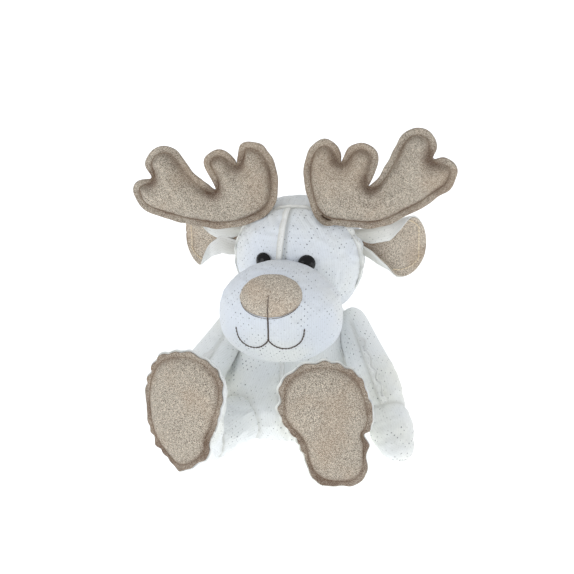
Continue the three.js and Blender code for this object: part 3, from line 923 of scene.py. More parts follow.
@dataclass(frozen=True)
class Jersey(Finish):
    """Ribbed knit with dots of foil."""

    slot: ClassVar[Slot] = Slot.JERSEY
    warm: tuple[int, int, int] = (243, 244, 240)
    # the tint of the painted shade in seams, in hollows and in the knit's valleys
    shade_tint: tuple[int, int, int] = (192, 192, 184)
    rib: float = 1.7
    row: float = 1.1
    dot_spacing: float = 4.4
    dot_radius: float = 0.36
    dotted: float = 1.0
    relief: float = 0.2

    def material(self) -> Material:
        """The finish as a material that reads the cloth's own map."""
        material, w, shader, place = self.start(
            Sheen_Weight=0.25, Sheen_Roughness=0.5, Specular_IOR_Level=0.25
        )
        cloth = w.node("ShaderNodeUVMap", uv_map=UV_NAME).outputs[0]
        ribs = {"Cloth": cloth, "Rib": self.rib * MM, "Row": self.row * MM}
        dots = {"Cloth": cloth, "Spacing": self.dot_spacing * MM, "Radius": self.dot_radius * MM}
        knit, foil = group_node(w, knit_group, ribs), group_node(w, foil_group, dots)
        worn = w.cloud(place, 46.0, 2.0)
        kept = w.spread(worn, 0.4, 0.62)
        patch = w.spread(w.cloud(place, 22.0), 0.35, 0.7)
        base = w.blend(patch, colour(self.seen), colour(self.warm))
        # painted shade: seams and places where parts meet are darkened towards the shade tint
        base = w.shade_tint(base, 0.8, colour(self.shade_tint))
        # painted shade in the valleys of the knit
        shade = w.minus(1.0, w.spread(knit.outputs["Height"], 0.0, 0.45))
        base = w.blend(w.times(shade, 0.16), base, colour(self.shade_tint))
        dot = w.times(foil.outputs["Mask"], self.dotted)
        strong = w.plus(w.times(kept, 0.7), 0.25)
        strong = w.times(dot, w.times(strong, foil.outputs["Tone"]))
        hue = w.spread(worn, 0.45, 0.6)
        foil_colour = w.blend(hue, colour((88, 88, 74)), colour((62, 72, 88)))
        w.feed(shader, {
            "Base Color": w.blend(strong, base, foil_colour),
            "Roughness": w.minus(self.roughness, w.times(strong, 0.5)),
            "Metallic": w.times(strong, 0.6),
        })
        fluff = w.times(w.cloud(place, 1500.0, 2.0), 0.5)
        height = w.minus(w.plus(knit.outputs["Height"], fluff), w.times(dot, 0.3))
        w.bump(shader, height, 0.55, self.relief)
        return material


@dataclass(frozen=True)
class Glitter(Finish):
    """Soft cloth with a coat of fine champagne glitter."""

    slot: ClassVar[Slot] = Slot.GLITTER
    light: tuple[int, int, int] = (230, 217, 198)
    dark: tuple[int, int, int] = (62, 49, 37)
    warm: tuple[int, int, int] = (168, 136, 104)
    # the tint of the painted shade along seams, in notches and in hollows
    shade_tint: tuple[int, int, int] = (94, 62, 36)
    fineness: float = 2900.0

    def material(self) -> Material:
        """The finish as a material that reads the piece's place."""
        material, w, shader, place = self.start(Specular_IOR_Level=0.4)
        grain = group_node(w, grain_group, {"Place": place, "Fineness": self.fineness})
        tone = w.spread(grain.outputs["Tone"], 0.1, 0.9)
        base = w.blend(tone, colour(self.dark), colour(self.light))
        patch = w.spread(w.cloud(place, 30.0, 4.0), 0.42, 0.68)
        base = w.blend(w.times(patch, 0.3), base, colour(self.warm))
        # painted shade: darkened towards the shade tint where the piece's painted shade lies
        base = w.shade_tint(base, 0.85, colour(self.shade_tint))
        spark = grain.outputs["Spark"]
        w.feed(shader, {
            "Base Color": w.blend(w.times(spark, 0.75), base, colour((252, 246, 232))),
            "Roughness": w.minus(self.roughness, w.times(spark, 0.35)),
            "Metallic": w.times(spark, 0.9),
        })
        w.bump(shader, grain.outputs["Height"], 0.6, 0.25)
        return material


@dataclass(frozen=True)
class Thread(Finish):
    """Twisted sewing thread."""

    slot: ClassVar[Slot] = Slot.THREAD
    worn: tuple[int, int, int] = (120, 108, 98)

    def material(self) -> Material:
        """The finish as a material."""
        material, w, shader, place = self.start(Sheen_Weight=0.2)
        twist = w.cloud(place, 1900.0)
        share = w.spread(twist, 0.35, 0.68)
        w.feed(shader, {"Base Color": w.blend(share, colour(self.seen), colour(self.worn))})
        w.bump(shader, twist, 0.7, 0.15)
        return material


@dataclass(frozen=True)
class Gloss(Finish):
    """Polished plastic with faint handling marks."""

    slot: ClassVar[Slot] = Slot.EYE
    haze: float = 0.08

    def material(self) -> Material:
        """The finish as a material."""
        material, w, shader, place = self.start(Specular_IOR_Level=0.3)
        marks = w.cloud(place, 420.0, 5.0)
        mark = w.spread(marks, 0.45, 0.8)
        deep = tuple(max(v - 6, 0) for v in self.seen)
        w.feed(shader, {
            "Base Color": w.blend(mark, colour(self.seen), colour(deep)),
            "Roughness": w.plus(self.roughness, w.times(mark, self.haze)),
        })
        w.bump(shader, marks, 0.05, 0.05)
        return material


@dataclass(frozen=True)
class Paper(Finish):
    """Plain seamless backdrop that glows a little."""

    glow: float = 1.03

    def material(self) -> Material:
        """The finish as a material."""
        material, w, shader, place = self.start(
            Emission_Color=(0.97, 0.985, 1.0, 1.0), Emission_Strength=self.glow
        )
        base = w.blend(w.cloud(place, 3.0), colour(self.seen), colour([v - 3 for v in self.seen]))
        w.feed(shader, {"Base Color": base})
        return material


FINISHES = {
    # The body's and the face's jerseys are one white knit: the body's is painted lighter and the
    # face's darker and bluer, to even out the light between them.
    "jersey": Jersey("jersey", (243, 246, 247), warm=(244, 245, 238)),
    "face_jersey": Jersey("face_jersey", (228, 234, 243), warm=(233, 236, 236)),
    # the raw edges' grey tint paints shade at the foot of each fin and in the knit's valleys
    "raw_edge": Jersey("raw_edge", (242, 243, 242), dotted=0.5, shade_tint=(176, 174, 164)),
    "glitter": Glitter("glitter", (178, 167, 154), roughness=0.6),
    # The nose and the ear linings wear the same glitter painted lighter and warmer, to make up for
    # the shade they lie in.
    "bright_glitter": Glitter("bright_glitter", (184, 168, 148), roughness=0.6,
                              light=(252, 242, 226), dark=(108, 88, 68), warm=(202, 167, 133)),
    "cut_edge": Jersey("cut_edge", (226, 218, 210), dotted=0.0, relief=0.1),
    "brown_thread": Thread("brown_thread", (62, 50, 44), roughness=0.7, worn=(96, 82, 74)),
    "gold_thread": Thread("gold_thread", (252, 240, 216), roughness=0.5, worn=(224, 202, 166)),
    "tan_thread": Thread("tan_thread", (150, 130, 106), roughness=0.6, worn=(112, 94, 74)),
    "eye": Gloss("eye", (7, 7, 9), roughness=0.05),
    "washer": Gloss("washer", (214, 214, 210), roughness=0.4),
    "backdrop": Paper("backdrop", (150, 150, 150), roughness=0.9),
}
MATERIALS: dict[str, Material] = {}


def dress(obj: Piece, *finishes: str) -> None:
    """Gives a piece its finishes, in the order of its faces' slots."""
    obj.data.materials.clear()
    for name in finishes:
        if name not in MATERIALS:
            MATERIALS[name] = FINISHES[name].material()
        obj.data.materials.append(MATERIALS[name])


@dataclass
class Assembly:
    """What every sub-assembly shares: it hands over its finished pieces."""

    def hand_over(
        self,
        obj: Piece,
        body: str,
        finishes: str,
        replaces: Sequence[str] = (),
        fill: float | None = None,
    ) -> None:
        """Dresses a piece and ties it to the frame.

        Args:
            obj: The finished piece.
            body: The body that it rides on.
            finishes: The names of its finishes, with a space between them.
            replaces: The frame's nodes that it stands for.
            fill: How full it is, for a padded piece; not used.
        """
        names = finishes.split()
        dress(obj, *names)
        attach(obj, body)
        if replaces:
            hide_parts(*replaces)
        log.info("%s: %d faces on %s", obj.name, len(obj.data.polygons), body)

    def lay(
        self,
        seam: Fin | Stitches,
        name: str,
        body: str,
        finish: str,
        run: tuple[Points, Points],
        replaces: Sequence[str] = (),
    ) -> None:
        """Builds a raw seam or a row of stitches and hands it over.

        Args:
            seam: What is laid.
            name: The piece's name.
            body: The body that it rides on.
            finish: The name of its finish.
            run: The points and the normals of the line that it follows.
            replaces: The frame's nodes that it stands for.
        """
        self.hand_over(seam.build(name, *run), body, finish, replaces)


@dataclass
class SidedAssembly(Assembly):
    """A sub-assembly that the deer has on its left and on its right."""

    side: Side

    @property
    def sign(self) -> int:
        """The sign of X on this side."""
        return self.side.value

    @property
    def label(self) -> str:
        """The word that the names of its pieces end in."""
        return self.side.label

    def pick(self, pair: tuple[float, float]) -> float:
        """The left or the right one of a pair of values."""
        return pair[0] if self.side is Side.LEFT else pair[1]


def seam_pull(near: Points, along: Points, seed: float, deep: float = 1.1) -> Points:
    """How far a seam pulls the cloth in, with the small folds that run into it.

    Args:
        near: The distance to the seam.
        along: The place along the seam.
        seed: A number that picks the folds.
        deep: How deep the seam lies.

    Returns:
        The pull, which is taken off along the normal.
    """
    groove = deep * bell(near, 2.6)
    folds = 0.42 * wave(along, 6.5, seed) * np.exp(-near / 6.0) * (near > 0.6)
    return groove + folds * part(near / 3)


# Torso


TORSO = Form(
    wide=47, up=43, down=43, low=0.0, high=86.0,
    shares=(
        (0, 0.02, 0.02), (0.002, 0.42, 0.42), (0.008, 0.62, 0.62), (0.03, 0.76, 0.76),
        (0.08, 0.9, 0.9), (0.2, 0.985, 0.99), (0.38, 1, 1), (0.55, 0.97, 0.96),
        (0.72, 0.9, 0.88), (0.88, 0.77, 0.75), (0.96, 0.66, 0.65), (0.992, 0.5, 0.5),
        (1, 0.3, 0.3), (1, 0.02, 0.02),
    ),
    place=Matrix.Identity(4),
)
HEAD_FRAME = Matrix.Translation((4, 0, 86)) @ Matrix.Rotation(math.radians(-1), 4, "Y")
HEAD = Form(
    wide=45, up=38, down=38, low=-4.0, high=76.0,
    shares=(
        (0, 0.5, 0.5), (0.08, 0.72, 0.74), (0.25, 0.93, 0.95), (0.42, 1, 1), (0.6, 0.98, 0.98),
        (0.76, 0.87, 0.88), (0.88, 0.68, 0.7), (0.95, 0.47, 0.49), (0.985, 0.26, 0.27),
        (1, 0.02, 0.02),
    ),
    place=HEAD_FRAME,
)
FACE_X = -2.5
NECK = Hinge((4, 0, 86), (0, 0, 1), (-25, 0, 25))


@dataclass
class Torso(Assembly):
    """The body's cover over its filling."""

    rows: int = 56
    columns: int = 112
    top: float = 85.7
    seam_y: float = -6.0
    seam_top: float = 56.0
    seam_aside: float = 9.0
    seam_turns: tuple[float, float] = (62.0, 74.0)
    calm_z: float = 42.0
    belly: float = 23.0
    belly_z: float = 24.0
    belly_high: float = 31.0
    belly_wide: float = 41.0
    hips: float = 0.06
    corner: float = 0.1
    swell: float = 1.6
    fill: float = 0.7

    def seam_x(self, z: Points) -> Points:
        """Where the front seam runs at each height, aside as the body sits."""
        return -1.0 + self.seam_aside * part(1 - z / self.seam_top)

    def build(self, stuffing: Stuffing) -> None:
        """Makes the cover and puts it in line for filling."""
        grid = TORSO.grid(self.rows, self.columns)
        x, y, z = np.moveaxis(grid, 2, 0)
        front = np.abs(x - self.seam_x(z)) + AWAY * (y > 0)
        sides = np.abs(y - self.seam_y) + AWAY * (np.abs(x) < 20)
        pull = seam_pull(front, z, 2, deep=0.5) + seam_pull(sides, z, 5)
        quiet = 1 - 0.9 * part((z - self.calm_z) / 10) * (y < 12)
        pull -= quiet * (0.9 * wander(grid, 30, 3) + 0.3 * wander(grid, 11, 8))
        inner = part(z / 6) * part((self.top - 1.7 - z) / 6)
        grid = grid - ring_normals(grid) * (pull * inner)[..., None]
        x, y, z = np.moveaxis(grid, 2, 0)
        low = (1 - eased(part((z - self.belly_z) / self.belly_high))) * part(z / 0.6)
        ahead = np.exp(-(((x + 2) / self.belly_wide) ** 4))
        slant = np.abs(np.sin(2 * np.arctan2(y / TORSO.up, x / TORSO.wide)))
        grid[..., :2] *= 1 + self.corner * (low * slant**1.5)[..., None]
        grid[..., 1] -= self.belly * low * ahead * part(-grid[..., 1] / 16)
        grid[..., 0] *= 1 + self.hips * low
        grid[..., 2] = np.clip(grid[..., 2], 0, self.top)
        tilt = math.asin(self.seam_y / TORSO.up)
        panels = [turn / TAU for turn in (tilt % TAU, 1.5 * math.pi, math.pi - tilt)]
        obj = ring_piece("torso_cover", grid, panels)
        near = np.minimum(front, sides)
        # painted shade along the seams
        crease = 0.5 * bell(near, 1.6) * inner
        # painted shadow on the body where each leg lies against it
        for side in Side:
            own = moved(grid, Leg(side).hinge_and_place()[1].inverted())
            beside = np.hypot(own[..., 0], own[..., 1]) - Leg.radius
            crease += 0.65 * bell(beside, 2.2) * (own[..., 2] > 0)
        set_crease(obj, crease)
        firm = (near < 1.8) | (inner < 0.5) | (quiet < 0.6)
        stuffing.add_skin(obj, firm, self.swell)
        self.cover = obj

    def finish(self) -> None:
        """Softens and dresses the cover, and lays its seams."""
        settle(self.cover, self.top)
        soften(self.cover, 1)
        nodes = ("body_back", "body_front_left", "body_front_right", "body_stuffing", "pellet_bag")
        self.hand_over(self.cover, "torso", "jersey", nodes, self.fill)
        skin = Skin(self.cover)
        height = np.linspace(20, self.seam_top, 30)
        starts = np.column_stack([self.seam_x(height), np.full(30, -RAY), height])
        run = skin.follow(starts, (0, 1, 0))
        fin = Fin(height=1.5, thickness=1.2, lean=0.3, waviness=0.3, seed=3, rounded=True,
                  fade=(14, 5))
        self.lay(fin, "body_seam_front", "torso", "raw_edge", run)
        for side, degrees in zip(Side, self.seam_turns):
            turn = math.radians(degrees)
            out = np.array((side.value * math.sin(turn), -math.cos(turn), 0))
            starts = [RAY * out + (0, 0, z) for z in np.linspace(20, 60, 32)]
            fin = Fin(height=4.0, thickness=0.6, lean=0.1 * side.value, waviness=1.1, splay=0.9,
                      wave_length=10, seed=11 + side.value, fade=(5, 16))
            run = skin.follow(starts, -out)
            self.lay(fin, f"body_seam_{side.label}", "torso", "raw_edge", run)


# Head, eyes and muzzle


def head_seam_y(z: Points) -> Points:
    """How far forward the seam over the head runs at heights in the head's frame."""
    return 3.0 - 19.0 * eased(part((z - 44) / 30))


@dataclass
class Head(Assembly):
    """The head's cover, with its seams."""

    rows: int = 60
    columns: int = 128
    middle_z: float = 36.0
    top: float = 40.0
    seam_y: float = -16.0
    swell: float = 1.6
    fill: float = 0.8

    def build(self, stuffing: Stuffing) -> None:
        """Makes the cover and puts it in line for filling."""
        grid = HEAD.grid(self.rows, self.columns)
        x, y, z = np.moveaxis(moved(grid, HEAD_FRAME.inverted()), 2, 0)
        centre = np.abs(x - FACE_X) + 1.5 * AWAY * (y > head_seam_y(z))
        across = np.abs(y - head_seam_y(z))
        pull = seam_pull(centre, z, 1, deep=0.8) + seam_pull(across, z + x, 6, deep=1.3)
        pull -= 0.7 * wander(grid, 26, 12) + 0.25 * wander(grid, 10, 4)
        inner = part(z / 8)
        grid = grid - ring_normals(grid) * (pull * inner)[..., None]
        own = moved(grid, HEAD_FRAME.inverted())
        own[..., 2] = np.maximum(own[..., 2], 0.9)
        grid = moved(own, HEAD_FRAME)
        obj = ring_piece("head_cover", grid, (0.02, 0.48, 0.75))
        near = np.minimum(centre, across)
        # painted shade along the seams
        set_crease(obj, 0.6 * bell(near, 1.5) * inner)
        stuffing.add_skin(obj, (near < 1.6) | (inner < 0.4), self.swell)
        self.cover = obj

    def finish(self) -> None:
        """Softens and dresses the cover, and lays its seams."""
        soften(self.cover, 1)
        nodes = ("head_back", "head_front_left", "head_front_right", "head_stuffing")
        self.hand_over(self.cover, "head", "face_jersey", nodes, self.fill)
        skin = Skin(self.cover)
        place = HEAD_FRAME.to_3x3()
        middle = np.array((FACE_X, 0.0, self.middle_z))

        def ray(x: float, y: float, z: float) -> tuple[Points, Points]:
            """A line towards the head's middle from far out, past a place in its frame."""
            out = unit(np.array((x, y, z)) - middle)
            start = moved(middle + RAY * out, HEAD_FRAME)
            return start, -np.array(place @ Vector(out))

        def seam(name: str, fin: Fin, places: Iterable[Sequence[float]]) -> None:
            """One raw seam over places in the head's frame."""
            starts, ways = zip(*(ray(*p) for p in places))
            self.lay(fin, name, "head", "raw_edge", skin.follow(starts, ways))

        run = [
            (FACE_X - 1.9 - 2.4 * (1 - math.sin(a)) ** 1.5, -HEAD.down * math.cos(a),
             self.middle_z + self.top * math.sin(a))
            for a in np.radians(np.linspace(64, 2, 34))
        ]
        seam("head_seam_front", Fin(height=2.9, thickness=1.5, lean=-0.35, waviness=0.25,
                                    wave_length=34, seed=5, rounded=True), run)
        run = [(x, self.seam_y, self.middle_z + self.top * math.sqrt(1 - (x / 46) ** 2))
               for x in np.linspace(-16, 12, 24)]
        seam("head_seam_top", Fin(height=1.3, thickness=1.0, lean=0.1, waviness=0.5, seed=8,
                                  rounded=True), run)
        for side, low, high in ((Side.LEFT, -34, 3.0), (Side.RIGHT, -40, 1.5)):
            run = [
                (side.value * HEAD.wide * math.cos(a), -10 - 3 * math.sin(2 * a),
                 self.middle_z + HEAD.up * math.sin(a))
                for a in np.radians(np.linspace(46, low, 56))
            ]
            fin = Fin(height=high, thickness=0.55, lean=0.1 * side.value, waviness=1.0,
                      wave_length=10, seed=20 + side.value, fade=(6, 26))
            seam(f"head_seam_{side.label}", fin, run)


MUZZLE = Form(
    wide=41.5, up=27, down=37, low=-25.0, high=43.0,
    shares=(
        (0, 0.02, 0.02), (0.012, 0.21, 0.21), (0.06, 0.57, 0.57), (0.2, 0.88, 0.87),
        (0.36, 1, 1), (0.6, 0.99, 1), (0.78, 0.82, 0.86), (0.92, 0.52, 0.56), (0.985, 0.24, 0.26),
        (1, 0.02, 0.02),
    ),
    place=HEAD_FRAME @ Matrix.Translation((FACE_X, -50, 0)),
)


@dataclass
class Muzzle(Assembly):
    """The muzzle with its nose and its mouth."""

    rows: int = 54
    columns: int = 112
    nose_wide: float = 20.5
    nose_high: float = 11.8
    nose_z: float = 26.2
    nose_columns: int = 72
    mouth_z: float = -0.8
    mouth_half: float = 23.0
    mouth_high: float = 6.3
    mouth_tilt: float = 0.02
    ahead_y: float = -140.0

    def build(self, stuffing: Stuffing) -> None:
        """Makes the muzzle's cover and puts it in line for filling."""
        grid = MUZZLE.grid(self.rows, self.columns)
        x, y, z = np.moveaxis(moved(grid, HEAD_FRAME.inverted()), 2, 0)
        bumps = 0.5 * wander(grid, 24, 31) + 0.2 * wander(grid, 9, 33)
        bumps *= np.clip((z - 0.4 * np.abs(x)) / 14 + 0.9, 0.1, 1)
        grid = grid + ring_normals(grid) * bumps[..., None]
        way = way_in(HEAD_FRAME, (0, -1, 0))
        swept = NECK.sweeps(TORSO, SWING_GAP + 0.3)
        grid = cleared(grid, way, lambda p: HEAD.inside(p, GAP) | swept(p))
        obj = ring_piece("muzzle_cover_soft", grid, (0.25,))
        buried = HEAD.inside(grid, 1.2) | swept(grid + 1e-6)
        # painted shade where the muzzle meets the head
        rim = HEAD.inside(grid, 4.0)
        set_crease(obj, 0.55 * rim)
        firm = buried | rim | (y > -45) | (z < 0.5 * np.abs(x))
        stuffing.add_skin(obj, firm, 1.2, loose=0.15)
        self.cover = obj

    def finish(self) -> None:
        """Softens and dresses the muzzle, and lays the nose and the mouth on it."""
        soften(self.cover, 1)
        nodes = ("muzzle_cover", "muzzle_stuffing")
        self.hand_over(self.cover, "head", "face_jersey", nodes, 0.85)
        self.skin = Skin(self.cover)
        self.ahead = way_in(HEAD_FRAME, (0, 1, 0))
        self.build_nose()
        self.build_mouth()

    def on_face(
        self, places: Iterable[tuple[float, float]], skin: Skin | None = None
    ) -> tuple[Points, Points]:
        """Points and normals on the face for places across and up in the head's frame."""
        starts = [moved(np.array((FACE_X + x, self.ahead_y, z)), HEAD_FRAME) for x, z in places]
        return (skin or self.skin).follow(starts, self.ahead)

    def build_nose(self) -> None:
        """A padded oval with its edge turned under."""
        rings = []
        profile = (
            (1.0, -0.5), (1.02, 0.15), (1.0, 0.75), (0.96, 1.25), (0.9, 1.6), (0.8, 1.95),
            (0.66, 2.25), (0.5, 2.45), (0.34, 2.6), (0.18, 2.65), (0.06, 2.65),
        )
        angle = around(self.nose_columns)
        for share, high in profile:
            x = share * self.nose_wide * np.cos(angle)
            z = share * self.nose_high * np.sin(angle) * (1 + 0.06 * np.sin(angle))
            line, normals = self.on_face(zip(x, self.nose_z + z))
            slit = bell(x, 1.1) * part(-(z - 1.5) / 3) * (high > 1)
            tuck = 0.25 * wave(angle * 14, 7.0, 4) * max(0, share - 0.7) / 0.3
            lift = high - 0.9 * slit + tuck
            rings.append(line + normals * lift[:, None])
        grid = np.stack(rings)[:, ::-1]
        obj = ring_piece("nose_pad", grid)
        shares = np.array([share for share, _ in profile])
        # painted shade round the rim, heaviest along its bottom, in the slit under the middle
        # stitches and on the tucked-under end
        low = np.clip(-np.sin(angle[::-1]) + 0.3, 0.15, 1)
        rim = np.outer(part((shares - 0.9) / 0.12), low)
        x = np.outer(shares, self.nose_wide * np.cos(angle[::-1]))
        z = np.outer(shares, np.sin(angle[::-1]))
        slit = bell(x, 0.9) * (z < 0.1)
        set_crease(obj, np.maximum(0.7 * rim, 0.45 * slit), (1, 0))
        soften(obj, 1)
        self.hand_over(obj, "head", "bright_glitter", ("nose_patch",), 0.4)
        down = [(0.2, self.nose_z + 1.5 - 11.6 * s) for s in np.linspace(0, 1, 16)]
        row = Stitches(length=1.7, pitch=1.9, radius=0.26, sink=0.15)
        run = self.on_face(down, Skin(obj, self.cover))
        self.lay(row, "nose_stitches", "head", "brown_thread", run)
        rim = np.radians(np.linspace(200, 340, 60))
        places = [(1.01 * self.nose_wide * math.cos(a),
                   self.nose_z + 1.03 * self.nose_high * math.sin(a)) for a in rim]
        row = Stitches(length=1.5, pitch=2.1, radius=0.2, sink=-0.2)
        self.lay(row, "nose_rim_stitches", "head", "brown_thread", self.on_face(places))

    def build_mouth(self) -> None:
        """The line under the nose and the two halves of the smile, in short stitches."""
        lines = [[(0, self.nose_z - 11.2), (0.3, 7), (0.2, self.mouth_z)]]
        half = (
            (0, 0), (0.1, 0.42), (0.26, 0.83), (0.46, 1), (0.68, 0.86), (0.88, 0.34),
            (0.97, -0.3), (1.0, -0.92),
        )
        for reach in (-self.mouth_half, self.mouth_half):
            lines.append([
                (reach * x, self.mouth_z - self.mouth_high * z + self.mouth_tilt * reach * x)
                for x, z in half
            ])
        for name, places in zip(("middle", "right", "left"), lines):
            run = self.on_face([tuple(p) for p in spaced(smooth_run(places, 60), 0.9)])
            row = Stitches(length=2.5, pitch=2.2, radius=0.55, sink=0.15, turn=5)
            nodes = ("mouth_thread",) if name == "middle" else ()
            self.lay(row, f"mouth_stitches_{name}", "head", "brown_thread", run, nodes)


@dataclass
class Eyes(Assembly):
    """Two domed eyes on the head, and the washers that hold them."""

    dome: float = 3.8
    x: float = 15.0
    z: float = 38.5
    turn_share: float = 0.9
    shank: float = 13.0
    columns: int = 56

    def place(self, side: Side) -> Matrix:
        """The eye's own frame, with Z pointing out of the head."""
        table = HEAD.rows(400)
        tall = HEAD.high - HEAD.low
        z = (self.z - HEAD.low) / tall
        x = FACE_X + side.value * self.x
        span = [np.interp(z + d, table[:, 0], table[:, 1]) for d in (-0.02, 0, 0.02)]
        share = span[1]
        y = -HEAD.down * share * math.sqrt(1 - (x / (HEAD.wide * share)) ** 2)
        slope = (span[2] - span[0]) / (0.04 * tall)
        facing = Vector((x / HEAD.wide**2, y / HEAD.down**2, -share * slope)).normalized()
        facing.x *= self.turn_share
        facing.normalize()
        spot = Vector((x, y, self.z)) + facing * 0.6
        return HEAD_FRAME @ frame_of(spot, facing, (0, 0, 1))

    def build(self) -> None:
        """Turns each eye from its profile and dresses the washers."""
        profile = (
            (0.8, -self.shank), (1.9, 0.5 - self.shank), (2.0, -11.0), (2.0, -0.9), (2.3, -0.35),
            (5.2, -0.3), (5.8, -0.1), (6.0, 0.2), (5.9, 0.55), (5.55, 0.75), (5.5, 0.9),
            (5.35, 1.35), (4.9, 1.95), (4.0, 2.75), (2.9, 3.35), (1.5, 3.7), (0.5, 3.8),
        )
        angle = around(self.columns)
        rings = np.stack([
            np.stack([r * np.cos(angle), r * np.sin(angle), np.full(self.columns, z)], axis=1)
            for r, z in profile
        ])
        tips = np.array(((0, 0, -self.shank), (0, 0, self.dome)))
        for side in Side:
            place = self.place(side)
            obj = ring_piece(f"eye_dome_{side.label}", moved(rings, place), ends=moved(tips, place))
            soften(obj, 1)
            self.hand_over(obj, "head", "eye", (f"eye_{side.label}",))
            dress(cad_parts[f"eye_washer_{side.label}"], "washer")


# Antlers


ANTLER_OUTLINES: dict[Side, Table] = {
    Side.LEFT: (
        (0.02, 0.623), (0.048, 0.797), (0.1, 0.933), (0.186, 0.996), (0.255, 0.93),
        (0.28, 0.827), (0.278, 0.716), (0.329, 0.852), (0.379, 0.899), (0.44, 0.911),
        (0.507, 0.835), (0.526, 0.744), (0.494, 0.583), (0.435, 0.426), (0.516, 0.525),
        (0.604, 0.721), (0.653, 0.844), (0.692, 0.936), (0.742, 0.993), (0.803, 1.016),
        (0.871, 0.972), (0.91, 0.879), (0.909, 0.771), (0.882, 0.666), (0.953, 0.666),
        (1.008, 0.614), (1.028, 0.523), (1.008, 0.417), (0.969, 0.324), (0.879, 0.25),
        (0.794, 0.162), (0.655, 0.071), (0.543, -0.003), (0.414, -0.029), (0.262, 0.014),
        (0.15, 0.053), (0.085, 0.12), (0.045, 0.225), (0.03, 0.36), (0.02, 0.49),
    ),
    Side.RIGHT: (
        (0.976, 0.544), (0.94, 0.619), (0.837, 0.638), (0.866, 0.779), (0.85, 0.868),
        (0.799, 0.951), (0.711, 0.982), (0.646, 0.927), (0.606, 0.83), (0.545, 0.65),
        (0.479, 0.538), (0.404, 0.436), (0.42, 0.563), (0.456, 0.705), (0.448, 0.794),
        (0.399, 0.865), (0.342, 0.879), (0.283, 0.836), (0.249, 0.763), (0.234, 0.693),
        (0.218, 0.792), (0.187, 0.91), (0.123, 0.933), (0.051, 0.888), (0.011, 0.804),
        (-0.015, 0.699), (-0.028, 0.54), (-0.019, 0.4), (0.004, 0.262), (0.046, 0.156),
        (0.117, 0.08), (0.21, 0.03), (0.32, 0.0), (0.437, 0.005), (0.547, 0.044),
        (0.682, 0.109), (0.79, 0.178), (0.89, 0.254), (0.95, 0.34), (0.975, 0.46),
    ),
}


